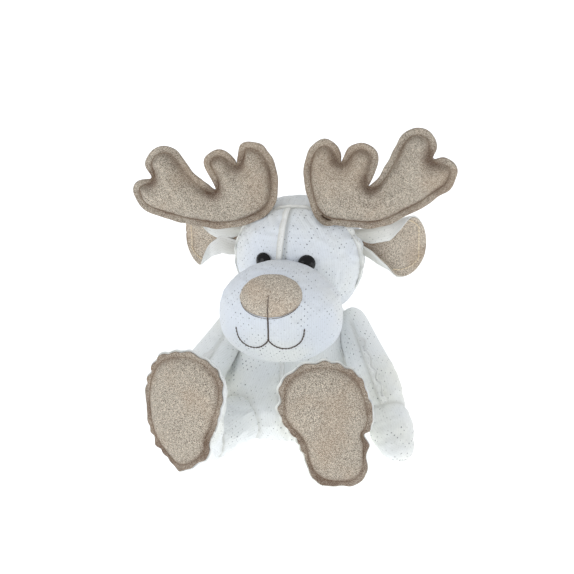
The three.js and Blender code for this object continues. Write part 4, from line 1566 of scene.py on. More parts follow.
@dataclass
class Antler(SidedAssembly):
    """One flat stuffed antler, sewn round with its raw edges outside the seam."""

    inner: float = 10.0
    wide: float = 103.0
    high: float = 62.0
    foot_x: float = 28.0
    foot_z: float = 3.0
    lift: float = 59.5
    y: float = -20.0
    lean: float = 7.0
    puff: float = 7.4
    crown: float = 12.0
    allowance: float = 4.7
    spacing: float = 2.1
    edge_step: float = 1.5
    half: float = 0.75
    flop: tuple[float, float, float] = (-6.0, 0.0, 20.0)
    swell: float = 4.0

    def place(self) -> Matrix:
        """The antler's own frame, X across, Y up and Z out of its face."""
        foot = (self.sign * self.foot_x, self.y, self.lift + self.foot_z)
        turn = Matrix.Rotation(math.radians(self.lean), 4, "Z")
        return HEAD_FRAME @ frame_of(foot, (0, -1, 0), (0, 0, 1)) @ turn

    def outline(self) -> Points:
        """The cut edge, evenly spaced, counter-clockwise."""
        shares = smooth_run(ANTLER_OUTLINES[self.side], 400, closed=True)
        x = self.sign * (self.inner + shares[:, 0] * self.wide - self.foot_x)
        edge = spaced(np.stack([x, shares[:, 1] * self.high - self.foot_z], axis=1),
                      self.edge_step, True)
        area = np.sum(edge[:, 0] * np.roll(edge[:, 1], -1) - edge[:, 1] * np.roll(edge[:, 0], -1))
        return edge if area > 0 else edge[::-1]

    @staticmethod
    def bends(edge: Points, steps: int) -> tuple[Points, Points, Points]:
        """The ways to and from each point of the edge, and how far they turn there."""
        ahead = unit(np.roll(edge, -steps, axis=0) - edge)
        behind = unit(edge - np.roll(edge, steps, axis=0))
        return ahead, behind, behind[:, 0] * ahead[:, 1] - behind[:, 1] * ahead[:, 0]

    def seam(self, edge: Points) -> Points:
        """The stitch line, closer to the edge in the notches."""
        ahead, behind, bend = self.bends(edge, 2)
        mean = unit(ahead + behind)
        inward = np.stack([-mean[:, 1], mean[:, 0]], axis=1)
        depth = smoothed(self.allowance * (1 - 0.55 * part(-bend * 1.6)), 6)
        return smoothed(edge + inward * depth[:, None], 5, own=2.0)

    def notch(self, points: Points, edge: Points) -> Points:
        """How close each point is to a place where the edge turns sharply inwards."""
        sharp = edge[self.bends(edge, 4)[2] < -0.6]
        if not len(sharp):
            return np.zeros(len(points))
        far = np.linalg.norm(points[:, None] - sharp, axis=2).min(axis=1)
        return bell(far, 5.5)

    @staticmethod
    def distance(points: Points, line: Points) -> tuple[Points, Points]:
        """The distance to a closed line, and the place along it."""
        span = np.roll(line, -1, axis=0) - line
        t = part(np.einsum("pnk,nk->pn", points[:, None] - line, span)
                 / np.maximum((span**2).sum(1), 1e-9))
        far = np.linalg.norm(points[:, None] - (line + t[..., None] * span), axis=2)
        best = far.argmin(axis=1)
        lengths = np.linalg.norm(span, axis=1)
        steps = summed(lengths)
        each = np.arange(len(points))
        return far[each, best], steps[best] + t[each, best] * lengths[best]

    @staticmethod
    def within(points: Points, line: Points) -> Points:
        """Tells which points lie inside a closed line."""
        x, y = points[:, 0][:, None], points[:, 1][:, None]
        a, b = line, np.roll(line, -1, axis=0)
        spans = (a[:, 1] > y) != (b[:, 1] > y)
        rise = np.where(np.abs(b[:, 1] - a[:, 1]) < 1e-9, 1e-9, b[:, 1] - a[:, 1])
        cross = a[:, 0] + (y - a[:, 1]) * (b[:, 0] - a[:, 0]) / rise
        return (np.sum(spans & (x < cross), axis=1) % 2) == 1

    def build(self, stuffing: Stuffing) -> None:
        """Makes both panels as one skin and puts it in line for filling."""
        outline = self.outline()
        seam = self.seam(outline)
        run = np.arange(len(outline)) * self.edge_step
        out = unit(outline - seam)
        upward = out[:, 1]
        edge = outline + out * (0.3 + 0.25 * wave(run, 15.0, 4 + self.sign))[:, None]
        middle = (edge + seam) / 2
        low, high = edge.min(axis=0), edge.max(axis=0)
        step = self.spacing
        lattice = []
        for i, y in enumerate(np.arange(low[1], high[1], step * 0.866)):
            for x in np.arange(low[0], high[0], step):
                lattice.append((x + (i % 2) * step / 2, y))
        lattice = np.array(lattice)
        lattice = lattice[self.within(lattice, seam)]
        lattice = lattice[self.distance(lattice, seam)[0] > 0.55 * step]
        flat = np.vstack([edge, middle, seam, lattice])
        n = len(edge)
        loops = [[(k * n + i, k * n + (i + 1) % n) for i in range(n)] for k in (1, 2)]
        made = delaunay_2d_cdt(
            [Vector(p) for p in flat], loops[0] + loops[1], [list(range(n))], 1, 1e-4
        )
        spots, triangles = np.array([tuple(v) for v in made[0]]), made[2]
        origin = [o[0] if o else -1 for o in made[3]]
        near, along = self.distance(spots, seam)
        inner = self.within(spots, seam) & (near > 1e-3)
        t = part(near / self.crown)
        dome = self.puff * np.sqrt(part(1 - (1 - t) ** 2))
        folds = 0.5 * wave(along, 7.5, 3 + self.sign) * np.exp(-near / 5) * (near > 0.5)
        bumps = np.zeros((len(spots), 3))
        bumps[:, :2] = spots
        flange = ~inner
        level = self.half + np.where(inner, dome + folds, 0.55 * part(near / 1.5))
        sway = 0.5 * wave(along, 17.0, 9 + self.sign) * part(near / 5) * flange
        broad = 0.5 * wander(bumps, 18, 5 + self.sign) * part(near / 8) * inner
        count = len(spots)
        front = np.column_stack([spots, level + broad + sway])
        back = np.column_stack([spots, -level - broad + sway])
        found = {o: i for i, o in enumerate(origin)}
        ring = [found[i] for i in range(n)]
        sewn = [found[2 * n + i] for i in range(n)]
        lips = [np.column_stack([spots[ring], sway[ring] + d]) for d in (0.12, -0.12)]
        valley = np.column_stack([spots[sewn], np.zeros(n)])
        points = np.vstack([front, back, *lips, valley])
        faces = [tuple(f) for f in triangles]
        faces += [tuple(count + k for k in f[::-1]) for f in triangles]
        kinds = [0] * len(faces)
        front_lip, back_lip, deep = 2 * count, 2 * count + n, 2 * count + 2 * n
        for i in range(n):
            j = (i + 1) % n
            strips = (
                (ring[i], front_lip + i, front_lip + j, ring[j]),
                (front_lip + i, deep + i, deep + j, front_lip + j),
                (deep + i, back_lip + i, back_lip + j, deep + j),
                (back_lip + i, count + ring[i], count + ring[j], back_lip + j),
            )
            faces += strips
            kinds += [1] * 4
        own = points.copy()
        place = self.place()
        points = moved(points, place)
        hinge = Hinge(tuple(place.translation), (1, 0, 0), self.flop)
        shift = np.repeat((1.6, 0.0, 0.9, 0.5, 0.7), (count, count, n, n, n))
        swept = hinge.sweeps(HEAD, SWING_GAP)
        out = way_in(place, (0, 0, 1))
        pushed = cleared(points, out, swept)
        hit = np.linalg.norm(pushed - points, axis=1) > 1e-6
        points = np.where(hit[:, None], pushed + out * shift[:, None], points)
        obj = mesh_piece(f"antler_{self.label}", points, faces)
        obj.data.polygons.foreach_set("material_index", np.array(kinds, np.int32))
        # painted shade: along the seam and just inside it, on the flange (less where it faces up),
        # deepest in the notches, uneven along the edge, and full in the seam's valley
        crease = 0.55 * bell(near, 1.0) + 0.3 * inner * np.exp(-near / 3.0)
        steps = np.linalg.norm(np.roll(seam, -1, axis=0) - seam, axis=1)
        crease += (0.3 - 0.14 * np.interp(along, np.cumsum(steps) - steps, upward)) * flange
        crease += 1.1 * self.notch(spots, edge) * (0.5 + 0.5 * inner)
        crease *= 0.8 + 0.3 * wave(along, 31.0, 2 + self.sign)
        set_crease(obj, np.concatenate([crease, crease, np.zeros(2 * n)]), np.ones(n))
        corner = [own[v, :2] + (0, 300.0 * (own[v, 2] < 0)) for f in faces for v in f]
        set_cloth(obj, np.array(corner))
        held = np.where(inner & (near > 1.2), 0.04, 1.0)
        held = np.concatenate([held, held, np.ones(3 * n)])
        held[hit] = 1.0
        stuffing.add(obj, held, self.swell)
        self.piece, self.sewn = obj, (seam, place)

    def finish(self) -> None:
        """Softens and dresses the antler, and sews two rows of stitches round it."""
        soften(self.piece, 1)
        label = self.label
        nodes = [f"antler_{name}_{label}" for name in ("front", "back", "stuffing")]
        body = f"antler_{label}"
        self.hand_over(self.piece, body, "glitter cut_edge", nodes, 0.5)
        seam, place = self.sewn
        skin = Skin(self.piece)
        mean = unit(np.roll(seam, -1, axis=0) - np.roll(seam, 1, axis=0))
        outward = np.stack([mean[:, 1], -mean[:, 0]], axis=1)
        for face, sign in (("front", 1), ("back", -1)):
            way = way_in(place, (0, 0, -sign))
            line = seam + outward * 0.5
            starts = moved(np.column_stack([line, np.full(len(line), sign * 60.0)]), place)
            row = Stitches(length=2.1, pitch=2.6, radius=0.2, sink=0.05)
            run = skin.follow(starts, way)
            self.lay(row, f"antler_stitches_{face}_{label}", body, "tan_thread", run)


# Ears


@dataclass
class Ear(SidedAssembly):
    """One ear: a glitter lining and a jersey backing, with both edges folded over."""

    x: float = 41.0
    y: float = 1.0
    z: float = 44.5
    length: float = 47.0
    half_width: float = 25.0
    sweep: float = 15.0
    inset: float = 5.4
    fold: float = 6.4
    cup: tuple[float, float] = (52.0, 14.0)
    root: float = -0.16
    flare: float = 10.5
    columns: int = 44
    rows: int = 36
    shares: Table = (
        (0, 0.5), (0.1, 0.62), (0.28, 0.86), (0.5, 1.0), (0.7, 0.95), (0.84, 0.78),
        (0.94, 0.52), (0.99, 0.26), (1, 0.06),
    )

    @property
    def flaps(self) -> tuple[Table, Table]:
        """Along the ear, how much of the upper and the lower edge folds over, and how far."""
        if self.side is Side.LEFT:
            return (
                ((0, 10, 160), (0.2, 12, 158), (0.45, 11, 150), (0.62, 7, 120), (0.76, 4, 60),
                 (0.9, 2, 0)),
                ((0, 6, 150), (0.2, 7, 135), (0.42, 6, 95), (0.58, 3, 30), (0.68, 2, 0)),
            )
        return (
            ((0, 10, 165), (0.33, 14, 162), (0.55, 11, 150), (0.7, 6, 80), (0.82, 2, 0)),
            ((0, 8, 160), (0.33, 13, 158), (0.52, 10, 140), (0.66, 5, 60), (0.78, 2, 0)),
        )

    def place(self) -> Matrix:
        """The ear's own frame, Z along the ear and Y out of its cup."""
        turn = math.radians(self.sweep)
        s = self.sign
        along = (s * math.cos(turn), math.sin(turn), 0)
        facing = (s * math.sin(turn), -math.cos(turn), 0)
        return HEAD_FRAME @ frame_of((s * self.x, self.y, self.z), along, facing)

    def section(self, u: float, arc: Points, offset: float) -> Points:
        """A cut across the ear.

        Args:
            u: The share of the way to the tip.
            arc: The distances from the middle along the cloth.
            offset: How far the layer lies in front of the cloth's middle.

        Returns:
            The points of the cut.
        """
        table = smooth_run(self.shares, 10 * len(self.shares))
        half = float(np.interp(u, table[:, 0], table[:, 1])) * self.half_width
        upper = self.sign
        more = self.flare * max(0.0, 1 - max(u, 0) / 0.5) ** 1.2
        ends = {upper: half + more, -upper: half + more * self.pick((0.0, 0.8))}
        fine = np.linspace(-ends[-1], ends[1], 241)
        cup = math.radians(self.cup[0] + (self.cup[1] - self.cup[0]) * u)
        angle = cup * fine / half
        for flap, sign in zip(self.flaps, (upper, -upper)):
            at, reaches, turns = np.array(flap, float).T
            turn = math.radians(float(np.interp(u, at, turns)))
            folded = sign * fine - (ends[sign] - float(np.interp(u, at, reaches)))
            angle = angle + sign * turn * eased(part(folded / self.fold + 0.5))
        steps = np.gradient(fine)
        x, y = np.cumsum(np.cos(angle) * steps), np.cumsum(np.sin(angle) * steps)
        x, y = x - np.interp(0, fine, x), y - np.interp(0, fine, y)
        x, y = x - offset * np.sin(angle), y + offset * np.cos(angle)
        at = arc * np.where(arc > 0, ends[1], ends[-1])
        puffed = 0.5 * np.sin(3 * arc + 5 * u + self.sign) * u
        return np.stack([np.interp(at, fine, x), np.interp(at, fine, y) + puffed,
                         np.full_like(arc, u * self.length)], axis=1)

    def sheet(self, offset: float) -> Points:
        """One face of the ear as rows of points, an offset in front of its middle."""
        arc = np.linspace(-1, 1, self.columns + 1)
        at = self.root + (1 - self.root) * (1 - (1 - np.linspace(0, 1, self.rows)) ** 1.2)
        return np.array([self.section(u, arc, offset) for u in at])

    def build(self) -> None:
        """Makes each layer as a thin closed sheet, with its root sewn into the head."""
        place = self.place()
        label, body = self.label, f"ear_{self.label}"
        layers = {"lining": (1.35, 0.1, "bright_glitter"), "backing": (-0.1, -1.35, "raw_edge")}
        across = np.tile(np.abs(np.linspace(-1, 1, self.columns + 1)), 2)
        for layer, (near, far, finish) in layers.items():
            loop = np.concatenate([self.sheet(near), self.sheet(far)[:, ::-1]], axis=1)
            obj = ring_piece(f"ear_{layer}_{label}_soft", moved(loop, place))
            # painted shade, deepest at the root in the ear's cup and fading out at the folded edges
            root = 0.08 + np.clip(0.9 - loop[..., 2] / 25, 0, 0.75)
            set_crease(obj, root * part((1 - across) * 6), (0.5, 0))
            soften(obj, 1)
            self.hand_over(obj, body, finish, (f"ear_{layer}_{label}",), 0.1)
        self.sew(place, body)

    def sew(self, place: Matrix, body: str) -> None:
        """A row of gold stitches inside the ear's open edge."""
        table = smooth_run(self.shares, 90)
        rim, ups = [], []
        for sign, first in ((self.sign, 0.74), (-self.sign, 0.52)):
            half = []
            for u in np.linspace(first, 1 - self.inset / self.length, 22):
                wide = float(np.interp(u, table[:, 0], table[:, 1])) * self.half_width
                share = sign * max(1 - self.inset / wide, 0.25)
                low, high = (self.section(u, np.array([share]), d)[0] for d in (0.6, 1.45))
                half.append((high, high - low))
            half = half if sign == self.sign else half[::-1]
            rim += [h[0] for h in half]
            ups += [h[1] for h in half]
        line = moved(np.array(rim), place)
        normals = unit(np.array(ups)) @ np.array(place.to_3x3()).T
        row = Stitches(length=2.4, pitch=2.6, radius=0.42, sink=-0.05)
        self.lay(row, f"ear_stitches_{self.label}", body, "gold_thread", (line, normals))


# Arms


@dataclass
class Arm(SidedAssembly):
    """One arm with its hand, sewn along its length and round its wrist."""

    out: tuple[float, float] = (32.0, 20.0)
    near_face: tuple[float, float] = (22.0, 42.0)
    x: float = 40.0
    z: float = 75.0
    length: float = 116.0
    root: float = 9.0
    wide: float = 15.0
    deep: float = 12.0
    wrist: float = 79.0
    drop: float = 35.0
    lift_out: float = 80.0
    lift: float = 45.0
    seam_turn: float = 27.0
    fuller: float = 3.0
    fuller_at: float = 56.0
    seam_start: float = 22.0
    seam_end: float = 100.0
    rows: int = 64
    columns: int = 56
    shares: Table = (
        (0, 0.02, 0.02), (0.004, 0.3, 0.3), (0.02, 0.55, 0.56), (0.08, 0.74, 0.76),
        (0.25, 0.88, 0.9), (0.45, 0.97, 0.99), (0.62, 0.94, 0.95), (0.655, 0.91, 0.92),
        (0.8, 1, 1), (0.92, 0.8, 0.8), (0.97, 0.58, 0.58), (0.995, 0.3, 0.3), (1, 0.02, 0.02),
    )

    @property
    def seam_angle(self) -> float:
        """Where the front seam runs, as an angle round the arm."""
        return math.pi / 2 + self.sign * math.radians(self.seam_turn)

    def hinge_and_place(self) -> tuple[Hinge, Matrix]:
        """The shoulder, and the arm's own frame with Z along the arm."""
        s = self.sign
        out, drop = math.radians(self.pick(self.out)), math.radians(self.drop)
        rest = Vector((s * math.sin(out) * math.cos(drop), -math.cos(out) * math.cos(drop),
                       -math.sin(drop)))
        far = math.radians(self.lift_out)
        axis = rest.cross(Vector((s * math.sin(far), -math.cos(far), 0))).normalized()
        pivot = (s * self.x, 0, self.z)
        hinge = Hinge(pivot, tuple(axis), (0, self.lift / 2, self.lift))
        return hinge, frame_of(pivot, rest, (0, 0, 1))

    def build(self, stuffing: Stuffing) -> None:
        """Makes the arm as one skin and puts it in line for filling."""
        hinge, place = self.hinge_and_place()
        form = Form(self.wide, self.deep, self.deep, -self.root, self.length, self.shares, place)
        grid = form.grid(self.rows, self.columns)
        x, y, z = np.moveaxis(moved(grid, place.inverted()), 2, 0)
        angle = np.arctan2(y, x)
        wrist = np.abs(z - self.wrist)
        seams = np.hypot(x, y) * np.min([
            np.abs(np.angle(np.exp(1j * (angle + turn))))
            for turn in (-self.seam_angle, self.seam_angle)
        ], axis=0)
        pull = seam_pull(seams, z, 14 + self.sign, deep=0.8)
        pull += seam_pull(wrist, angle * 12, 16 + self.sign, deep=1.3)
        free = part((z - self.pick(self.near_face) - 8) / 15)
        pull -= 0.7 * wander(grid, 20, 50 + self.sign) * free
        pull -= self.fuller * part(self.sign * np.cos(angle)) * bell(z - self.fuller_at, 24)
        inner = part((z - 4) / 8) * part((self.length - 2 - z) / 8)
        grid = grid - ring_normals(grid) * (pull * inner)[..., None]
        grid = cleared(grid, way_in(place, (0, 0, 1)), hinge.sweeps(TORSO, SWING_GAP))
        grid = cleared(grid, (0, 0, -1), NECK.sweeps(MUZZLE, SWING_GAP))
        past = part((z - self.wrist) / (self.length - self.wrist))
        grid[..., 2] = np.maximum(grid[..., 2] - 1.5 * past, 0.0)
        start = self.seam_angle / TAU
        obj = ring_piece(f"arm_{self.label}", grid, (start % 1, (start + 0.5) % 1))
        near = np.minimum(seams, wrist)
        # painted shade along the seams and round the wrist, much weaker on the hand's upper side
        plain = 1 - 0.8 * ((z > self.wrist + 3) & (np.sin(angle) > 0))
        set_crease(obj, 0.6 * bell(near, 1.4) * inner * plain)
        stuffing.add_skin(obj, (near < 1.5) | (free < 0.8) | (grid[..., 2] < 1.5), 1.4)
        self.piece, self.own = obj, place

    def finish(self) -> None:
        """Softens and dresses the arm, and lays its raw seams."""
        settle(self.piece)
        soften(self.piece, 1)
        label, body = self.label, f"arm_{self.label}"
        nodes = [f"{name}_{label}" for name in ("arm_cover", "hand_cover", "arm_stuffing")]
        self.hand_over(self.piece, body, "jersey", nodes, 0.7)
        skin = Skin(self.piece)
        turned = np.array((math.cos(self.seam_angle), math.sin(self.seam_angle), 0.0))
        over = self.wrist - 1.0
        for name, face, limb, low, high, tall, lean, fade in (
            ("front", 1, "arm", self.pick(self.near_face), over, 5.4, 0.6, 34),
            ("back", -1, "arm", self.seam_start, over, 4.0, 0.1, 34),
            ("back", -1, "hand", self.wrist + 1.5, self.seam_end, 2.0, 0.1, 5),
        ):
            at = np.linspace(low, high, 36)
            starts = moved(face * AWAY * turned + np.outer(at, (0, 0, 1)), self.own)
            run = skin.follow(starts, way_in(self.own, -face * turned))
            fin = Fin(height=tall, thickness=0.7, lean=-lean * face * self.sign, waviness=1.4,
                      wave_length=13, splay=0.35, fade=(fade, 5),
                      seed=30 + face + 5 * self.sign + len(limb))
            self.lay(fin, f"{limb}_seam_{name}_{label}", body, "raw_edge", run)


# Legs


SOLE_OUTLINES: dict[Side, Table] = {
    Side.LEFT: (
        (-6.4, 70.1), (4, 69.5), (13.4, 66.7), (23.3, 60.1), (28.5, 51.5), (30.6, 42.7),
        (31.2, 27.2), (27.4, 16.8), (22.6, 13.6), (24.4, 5.2), (20.3, -1.2), (20.2, -8.0),
        (15.8, -15.0), (7.1, -18.4), (1.8, -15.9), (-6.0, -14.6), (-13.8, -8.3), (-17.1, 0.5),
        (-18.2, 15.8), (-21.2, 25.8), (-25.0, 34.7), (-27.0, 45.7), (-22.8, 52.8),
        (-23.4, 58.5), (-17.2, 65.6),
    ),
    Side.RIGHT: (
        (-14.8, 63.0), (-5, 67.0), (4, 68.8), (13.8, 68.1), (24, 64.5), (31.4, 57.0),
        (33.4, 48.5), (32.6, 39.8), (29.6, 29.7), (27.0, 20.0), (22.1, 9.8), (21.1, 1.5),
        (13.5, -6.3), (3.4, -12.3), (-2.3, -13.6), (-12.6, -6.0), (-19.0, 0.0), (-23.0, 6.7),
        (-26.2, 15.0), (-27.4, 23.7), (-27.8, 34.5), (-25.1, 47.6), (-20.8, 56.6),
    ),
}


@dataclass
class Leg(SidedAssembly):
    """One leg with its foot, and the glitter sole sewn to the foot's front."""

    splay: tuple[float, float] = (22.0, 19.0)
    roll: tuple[float, float] = (13.0, 0.0)
    middle: tuple[float, float] = (1.5, 27.0)
    x: float = 20.0
    y: float = -38.0
    z: float = 16.5
    radius: float = 17.0
    ankle: float = 62.0
    foot_at: float = 64.0
    sole_at: float = 86.0
    uneven: tuple[float, float] = (14.0, 84.0)
    loose: tuple[float, float] = (18.0, 80.0)
    root_rings: int = 24
    allowance: float = 4.0
    dome: float = 5.0
    columns: int = 176
    swing: float = 20.0

    def hinge_and_place(self) -> tuple[Hinge, Matrix]:
        """The hip, and the leg's own frame with Z along the leg."""
        s = self.sign
        splay, roll = (math.radians(self.pick(pair)) for pair in (self.splay, self.roll))
        along = Vector((s * math.sin(splay), -math.cos(splay), 0))
        axis = along.cross(Vector((0, 0, 1))).normalized()
        pivot = (s * self.x, self.y, self.z)
        hinge = Hinge(pivot, tuple(axis), (-self.swing, 0, self.swing))
        return hinge, frame_of(pivot, along, (0, 0, 1)) @ Matrix.Rotation(roll * s, 4, "Z")

    def edge(self, seed: float, grow: float, ripple: float) -> tuple[Points, Points]:
        """The sole's outline read by angle round its middle.

        Args:
            seed: A number that picks the ripples.
            grow: How much larger it is all round.
            ripple: How high the ripples are.

        Returns:
            The distance from the middle and the angle, for each column.
        """
        outline = smooth_run(SOLE_OUTLINES[self.side], 500, closed=True) - self.middle
        angles = np.arctan2(outline[:, 1], outline[:, 0]) % TAU
        order = np.argsort(angles)
        angle = around(self.columns)
        reach = np.interp(angle, angles[order], np.hypot(*outline.T)[order], period=TAU)
        reach = smoothed(reach, 1, own=2.0)
        fine = ripple * wave(angle * 30, 8.0, seed) + 0.6 * ripple * wave(angle * 30, 21, seed + 2)
        return reach + grow + fine * self.joined(angle), angle

    @staticmethod
    def joined(angle: Points) -> Points:
        """A share that falls to nothing where the first column meets the last."""
        return part(np.minimum(angle, TAU - angle) / 0.3)

    def seam_line(self) -> Points:
        """The distance from the middle to the stitch line, for each column."""
        return smoothed(self.edge(0, 0, 0)[0], 10) - self.allowance

    def flat_ring(self, reach: Points, angle: Points, z: Points | float) -> Points:
        """A ring of points at a distance round the sole's middle."""
        x = self.middle[0] + reach * np.cos(angle)
        y = self.middle[1] + reach * np.sin(angle)
        return np.stack([x, y, np.broadcast_to(z, x.shape)], axis=1)

    def build(self, stuffing: Stuffing) -> None:
        """Makes the leg with its foot, and the sole."""
        hinge, place = self.hinge_and_place()
        seam = self.seam_line()
        label = self.label
        s = self.pick((1, 2))
        raw, angle = self.edge(60 + s, 1.1, 0.75)
        turned = np.stack([np.cos(angle), np.sin(angle)], axis=1)
        rings: list[Points] = []
        marks: list[float] = []

        def add(ring: Points, mark: float = 0.0) -> None:
            """One more ring, and how much painted shade its cloth gets."""
            rings.append(ring)
            marks.append(mark)

        def add_round(radius: float, z: float, mark: float = 0.0) -> None:
            """One more round ring of the leg."""
            add(np.column_stack([radius * turned, np.full(self.columns, z)]), mark)

        for radius in (1.0, 4.0, 7.5, 11.0, 14.0, 15.6):
            add_round(radius, -12.0)
        for z in np.linspace(-10, 20, 9):
            add_round(self.radius * (0.955 + 0.035 * (z + 10) / 30), z)
        for z in (24, 30, 36, 42, 48, 53, 57):
            add_round(self.radius * (1.0 - 0.05 * max(0, z - 30) / 30), z)
        # the ankle's fold gets painted shade
        for past, share, mark in ((-2, 0.94, 0.2), (-0.8, 0.915, 0.8), (0, 0.905, 1.0),
                                  (0.8, 0.915, 0.8), (2, 0.95, 0.2)):
            add_round(self.radius * share, self.ankle + past, mark)
        ankle = rings[-1]
        foot = self.flat_ring(seam + 0.3, angle, self.sole_at)
        for along, wide in ((0.1, 0.2), (0.2, 0.42), (0.33, 0.64), (0.48, 0.83), (0.64, 0.95),
                            (0.8, 1.02), (0.92, 1.03)):
            ring = ankle + (foot - ankle) * wide
            ring[:, 2] = self.foot_at + (self.sole_at - self.foot_at) * along
            add(ring)
        sway = 1.2 * wave(angle * 30, 8.0, 70 + s) * self.joined(angle)
        full = raw - seam
        # the rings round the sole's seam get painted shade
        for share, z, mark in ((0.0, 0.0, 1.0), (0.3, -0.15, 0.5), (0.65, -0.1, 0.1),
                               (0.95, 0.0, 0.0), (1.0, 0.35, 0.0), (1.0, 0.85, 0.0),
                               (0.95, 1.15, 0.0), (0.5, 1.15, 0.3), (0.0, 1.0, 0.8)):
            level = self.sole_at + z + share * share * sway
            add(self.flat_ring(seam + share * full, angle, level), mark)
        for share, high in ((0.94, 0.28), (0.84, 0.52), (0.68, 0.74), (0.48, 0.9), (0.26, 0.98),
                            (0.08, 1.0)):
            level = self.sole_at + 1.0 + (self.dome - 0.6) * high
            add(self.flat_ring(seam * share, angle, level))
        own = np.array(rings)
        grid = moved(own, place)
        z = own[..., 2]
        bumps = 0.8 * wander(grid, 20, 80 + s) + 0.3 * wander(grid, 9, 84 + s)
        near = np.abs(z - self.ankle)
        folds = wave(np.broadcast_to(angle * 17, z.shape), 6.0, 86 + s)
        bumps -= 0.35 * folds * np.exp(-near / 5)
        bumps *= (z > self.uneven[0]) & (z < self.uneven[1])
        grid = grid + ring_normals(grid) * bumps[..., None]
        root = grid[:self.root_rings]
        root[:] = cleared(root, way_in(place, (0, 0, 1)), hinge.sweeps(TORSO, SWING_GAP))
        grid[..., 2] = np.maximum(grid[..., 2], 0.0)
        obj = ring_piece(f"leg_{label}", grid, (0.25,))
        # painted shade at the ankle and round the sole's seam
        set_crease(obj, np.repeat(0.75 * np.array(marks), self.columns))
        soft = (z > self.loose[0]) & (z < self.loose[1]) & (near > 2) & (grid[..., 2] > 2)
        stuffing.add_skin(obj, ~soft, 1.5)
        self.piece = obj
        self.build_sole(place, seam, angle, sway, s)

    def build_sole(self, place: Matrix, seam: Points, angle: Points, sway: Points, s: int) -> None:
        """The sole as a thin domed shell with a wavy raw edge."""
        edge, _ = self.edge(60 + s, -0.1, 0.75)
        full = edge - seam
        back = self.sole_at + 1.45
        face = []
        for share, high in ((0.06, 1.0), (0.16, 0.995), (0.28, 0.98), (0.4, 0.95), (0.52, 0.9),
                            (0.64, 0.82), (0.74, 0.72), (0.83, 0.59), (0.9, 0.44), (0.95, 0.28),
                            (0.98, 0.13), (1.0, 0.02)):
            face.append(("dome", share, high))
        for share in (0.1, 0.28, 0.5, 0.72, 0.92, 1.0):
            face.append(("flange", share, 0.0))
        gathers = wave(angle * 30, 7.0, 90 + s)

        def layer(top: bool) -> list[Points]:
            """The rings of one face, from the middle out."""
            rise = back + (CLOTH if top else 0.0)
            made = []
            for kind, share, high in face:
                if kind == "dome":
                    fold = 0.45 * gathers * np.exp(-(1 - share) * 12) * (share < 0.995)
                    level = rise + self.dome * high + fold * (1 if top else 0.7)
                    made.append(self.flat_ring(seam * share, angle, level))
                else:
                    low = 0.35 if top else 0.0
                    lift = rise - low * math.exp(-share * 6) + share * share * sway
                    made.append(self.flat_ring(seam + share * full, angle, lift))
            return made

        top, under = layer(True), layer(False)
        rings = top + under[::-1]
        own = np.array(rings)[:, ::-1]
        grid = moved(own, place)
        grid[..., 2] = np.maximum(grid[..., 2], 0.0)
        obj = ring_piece(f"sole_{self.label}_soft", grid)
        # painted shade near the seam and on the flange, uneven along the edge and heavier on one
        # half of it
        marks = []
        for kind, share, _ in face:
            if kind == "dome":
                marks.append(0.4 * math.exp(-((1 - share) * 25) ** 2) + 0.4 * math.exp(
                    -(1 - share) * 14))
            else:
                marks.append(0.7 + 0.35 * math.exp(-share * 4))
        marks = np.array(marks + marks[::-1])
        uneven = 0.85 + 0.3 * wave(angle[::-1] * 30, 34.0, 95 + s)
        uneven *= 1 - 0.3 * np.sin(angle[::-1])
        set_crease(obj, np.outer(marks, uneven))
        kinds = np.zeros(len(obj.data.polygons), np.int32)
        band = self.columns * (len(top) - 1)
        kinds[band:band + self.columns * len(top)] = 1
        obj.data.polygons.foreach_set("material_index", kinds)
        self.sole, self.stitch = obj, (seam, angle, place)

    def finish(self) -> None:
        """Softens and dresses the leg and the sole, and sews the sole's edge."""
        for obj in (self.piece, self.sole):
            settle(obj)
            soften(obj, 1)
        label, body = self.label, f"leg_{self.label}"
        nodes = [f"{name}_{label}" for name in ("leg_cover", "foot_cover", "leg_stuffing")]
        self.hand_over(self.piece, body, "jersey", nodes, 0.8)
        self.hand_over(self.sole, body, "glitter cut_edge", (f"sole_{label}",), 0.5)
        seam, angle, place = self.stitch
        starts = moved(self.flat_ring(seam + 0.6, angle, self.sole_at + 54), place)
        way = way_in(place, (0, 0, -1))
        row = Stitches(length=2.1, pitch=2.7, radius=0.2, sink=0.05)
        run = Skin(self.sole).follow(starts, way)
        self.lay(row, f"sole_stitches_{label}", body, "tan_thread", run)


# Studio


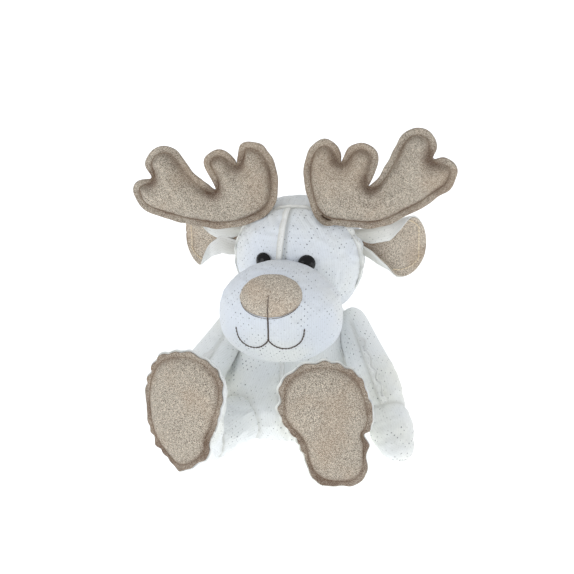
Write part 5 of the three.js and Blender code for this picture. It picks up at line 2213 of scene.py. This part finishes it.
@dataclass(frozen=True)
class Studio:
    """The camera, the light and the pale floor, with lengths in metres."""

    azimuth: float = 13.0
    elevation: float = 15.0
    distance: float = 1.1
    target: tuple[float, float, float] = (0.0, 0.0, 0.12)
    lit: tuple[float, float, float] = (0.0, -0.03, 0.1)
    focal_pixels: float = 1571.0
    frame_pixels: float = 574.0
    target_pixel: tuple[float, float] = (296.0, 255.2)
    floor: float = 12.0

    def build(self) -> None:
        """Sets the camera, the world and the lights, and lays the floor."""
        scene = bpy.context.scene
        scene.view_settings.view_transform = "Standard"
        a, e = math.radians(self.azimuth), math.radians(self.elevation)
        back = Vector((math.sin(a) * math.cos(e), -math.cos(a) * math.cos(e), math.sin(e)))
        data = bpy.data.cameras.new("camera")
        data.sensor_width = 36.0
        data.lens = 36.0 * self.focal_pixels / self.frame_pixels
        half = self.frame_pixels / 2
        data.shift_x = (half - self.target_pixel[0]) / self.frame_pixels
        data.shift_y = (self.target_pixel[1] - half) / self.frame_pixels
        camera = bpy.data.objects.new("camera", data)
        camera.location = Vector(self.target) + back * self.distance
        camera.rotation_euler = (-back).to_track_quat("-Z", "Y").to_euler()
        scene.collection.objects.link(camera)
        scene.camera = camera

        world = bpy.data.worlds.new("studio")
        world.use_nodes = True
        sky = world.node_tree.nodes["Background"]
        sky.inputs["Color"].default_value = (0.96, 0.98, 1.0, 1.0)
        sky.inputs["Strength"].default_value = 0.66
        scene.world = world

        lamps = (
            ("key", (-0.7, -1.0, 0.3), 0.8, 2.4, (1.0, 1.0, 1.0)),
            ("side", (1.2, -0.5, 0.15), 0.6, 1.2, (0.98, 0.99, 1.0)),
            ("back", (0.2, 0.9, 0.9), 0.8, 2.0, (1.0, 1.0, 1.0)),
        )
        for name, place, size, power, tint in lamps:
            light = bpy.data.lights.new(name, "AREA")
            light.shape = "DISK"
            light.size = size
            light.energy = power
            light.color = tint
            lamp = bpy.data.objects.new(name, light)
            lamp.location = place
            aim = Vector(self.lit) - Vector(place)
            lamp.rotation_euler = aim.to_track_quat("-Z", "Y").to_euler()
            scene.collection.objects.link(lamp)

        bpy.ops.object.select_all(action="DESELECT")
        bpy.ops.mesh.primitive_plane_add(size=self.floor, location=(0, 0, 0))
        floor = bpy.context.object
        floor.name = "floor"
        bpy.ops.object.transform_apply(location=True, rotation=True, scale=True)
        dress(floor, "backdrop")


def main() -> None:
    """Builds every sub-assembly in order and reports each piece."""
    logging.basicConfig(level=logging.INFO, format="%(name)s: %(message)s")
    Studio().build()
    stuffing = Stuffing()
    filled = [Torso(), Head(), Muzzle()]
    for side in Side:
        filled += [Antler(side), Arm(side), Leg(side)]
    for assembly in filled:
        assembly.build(stuffing)
    stuffing.run()
    for assembly in filled:
        assembly.finish()
    Eyes().build()
    for side in Side:
        Ear(side).build()
    bpy.context.view_layer.update()


if __name__ == "__main__":
    main()
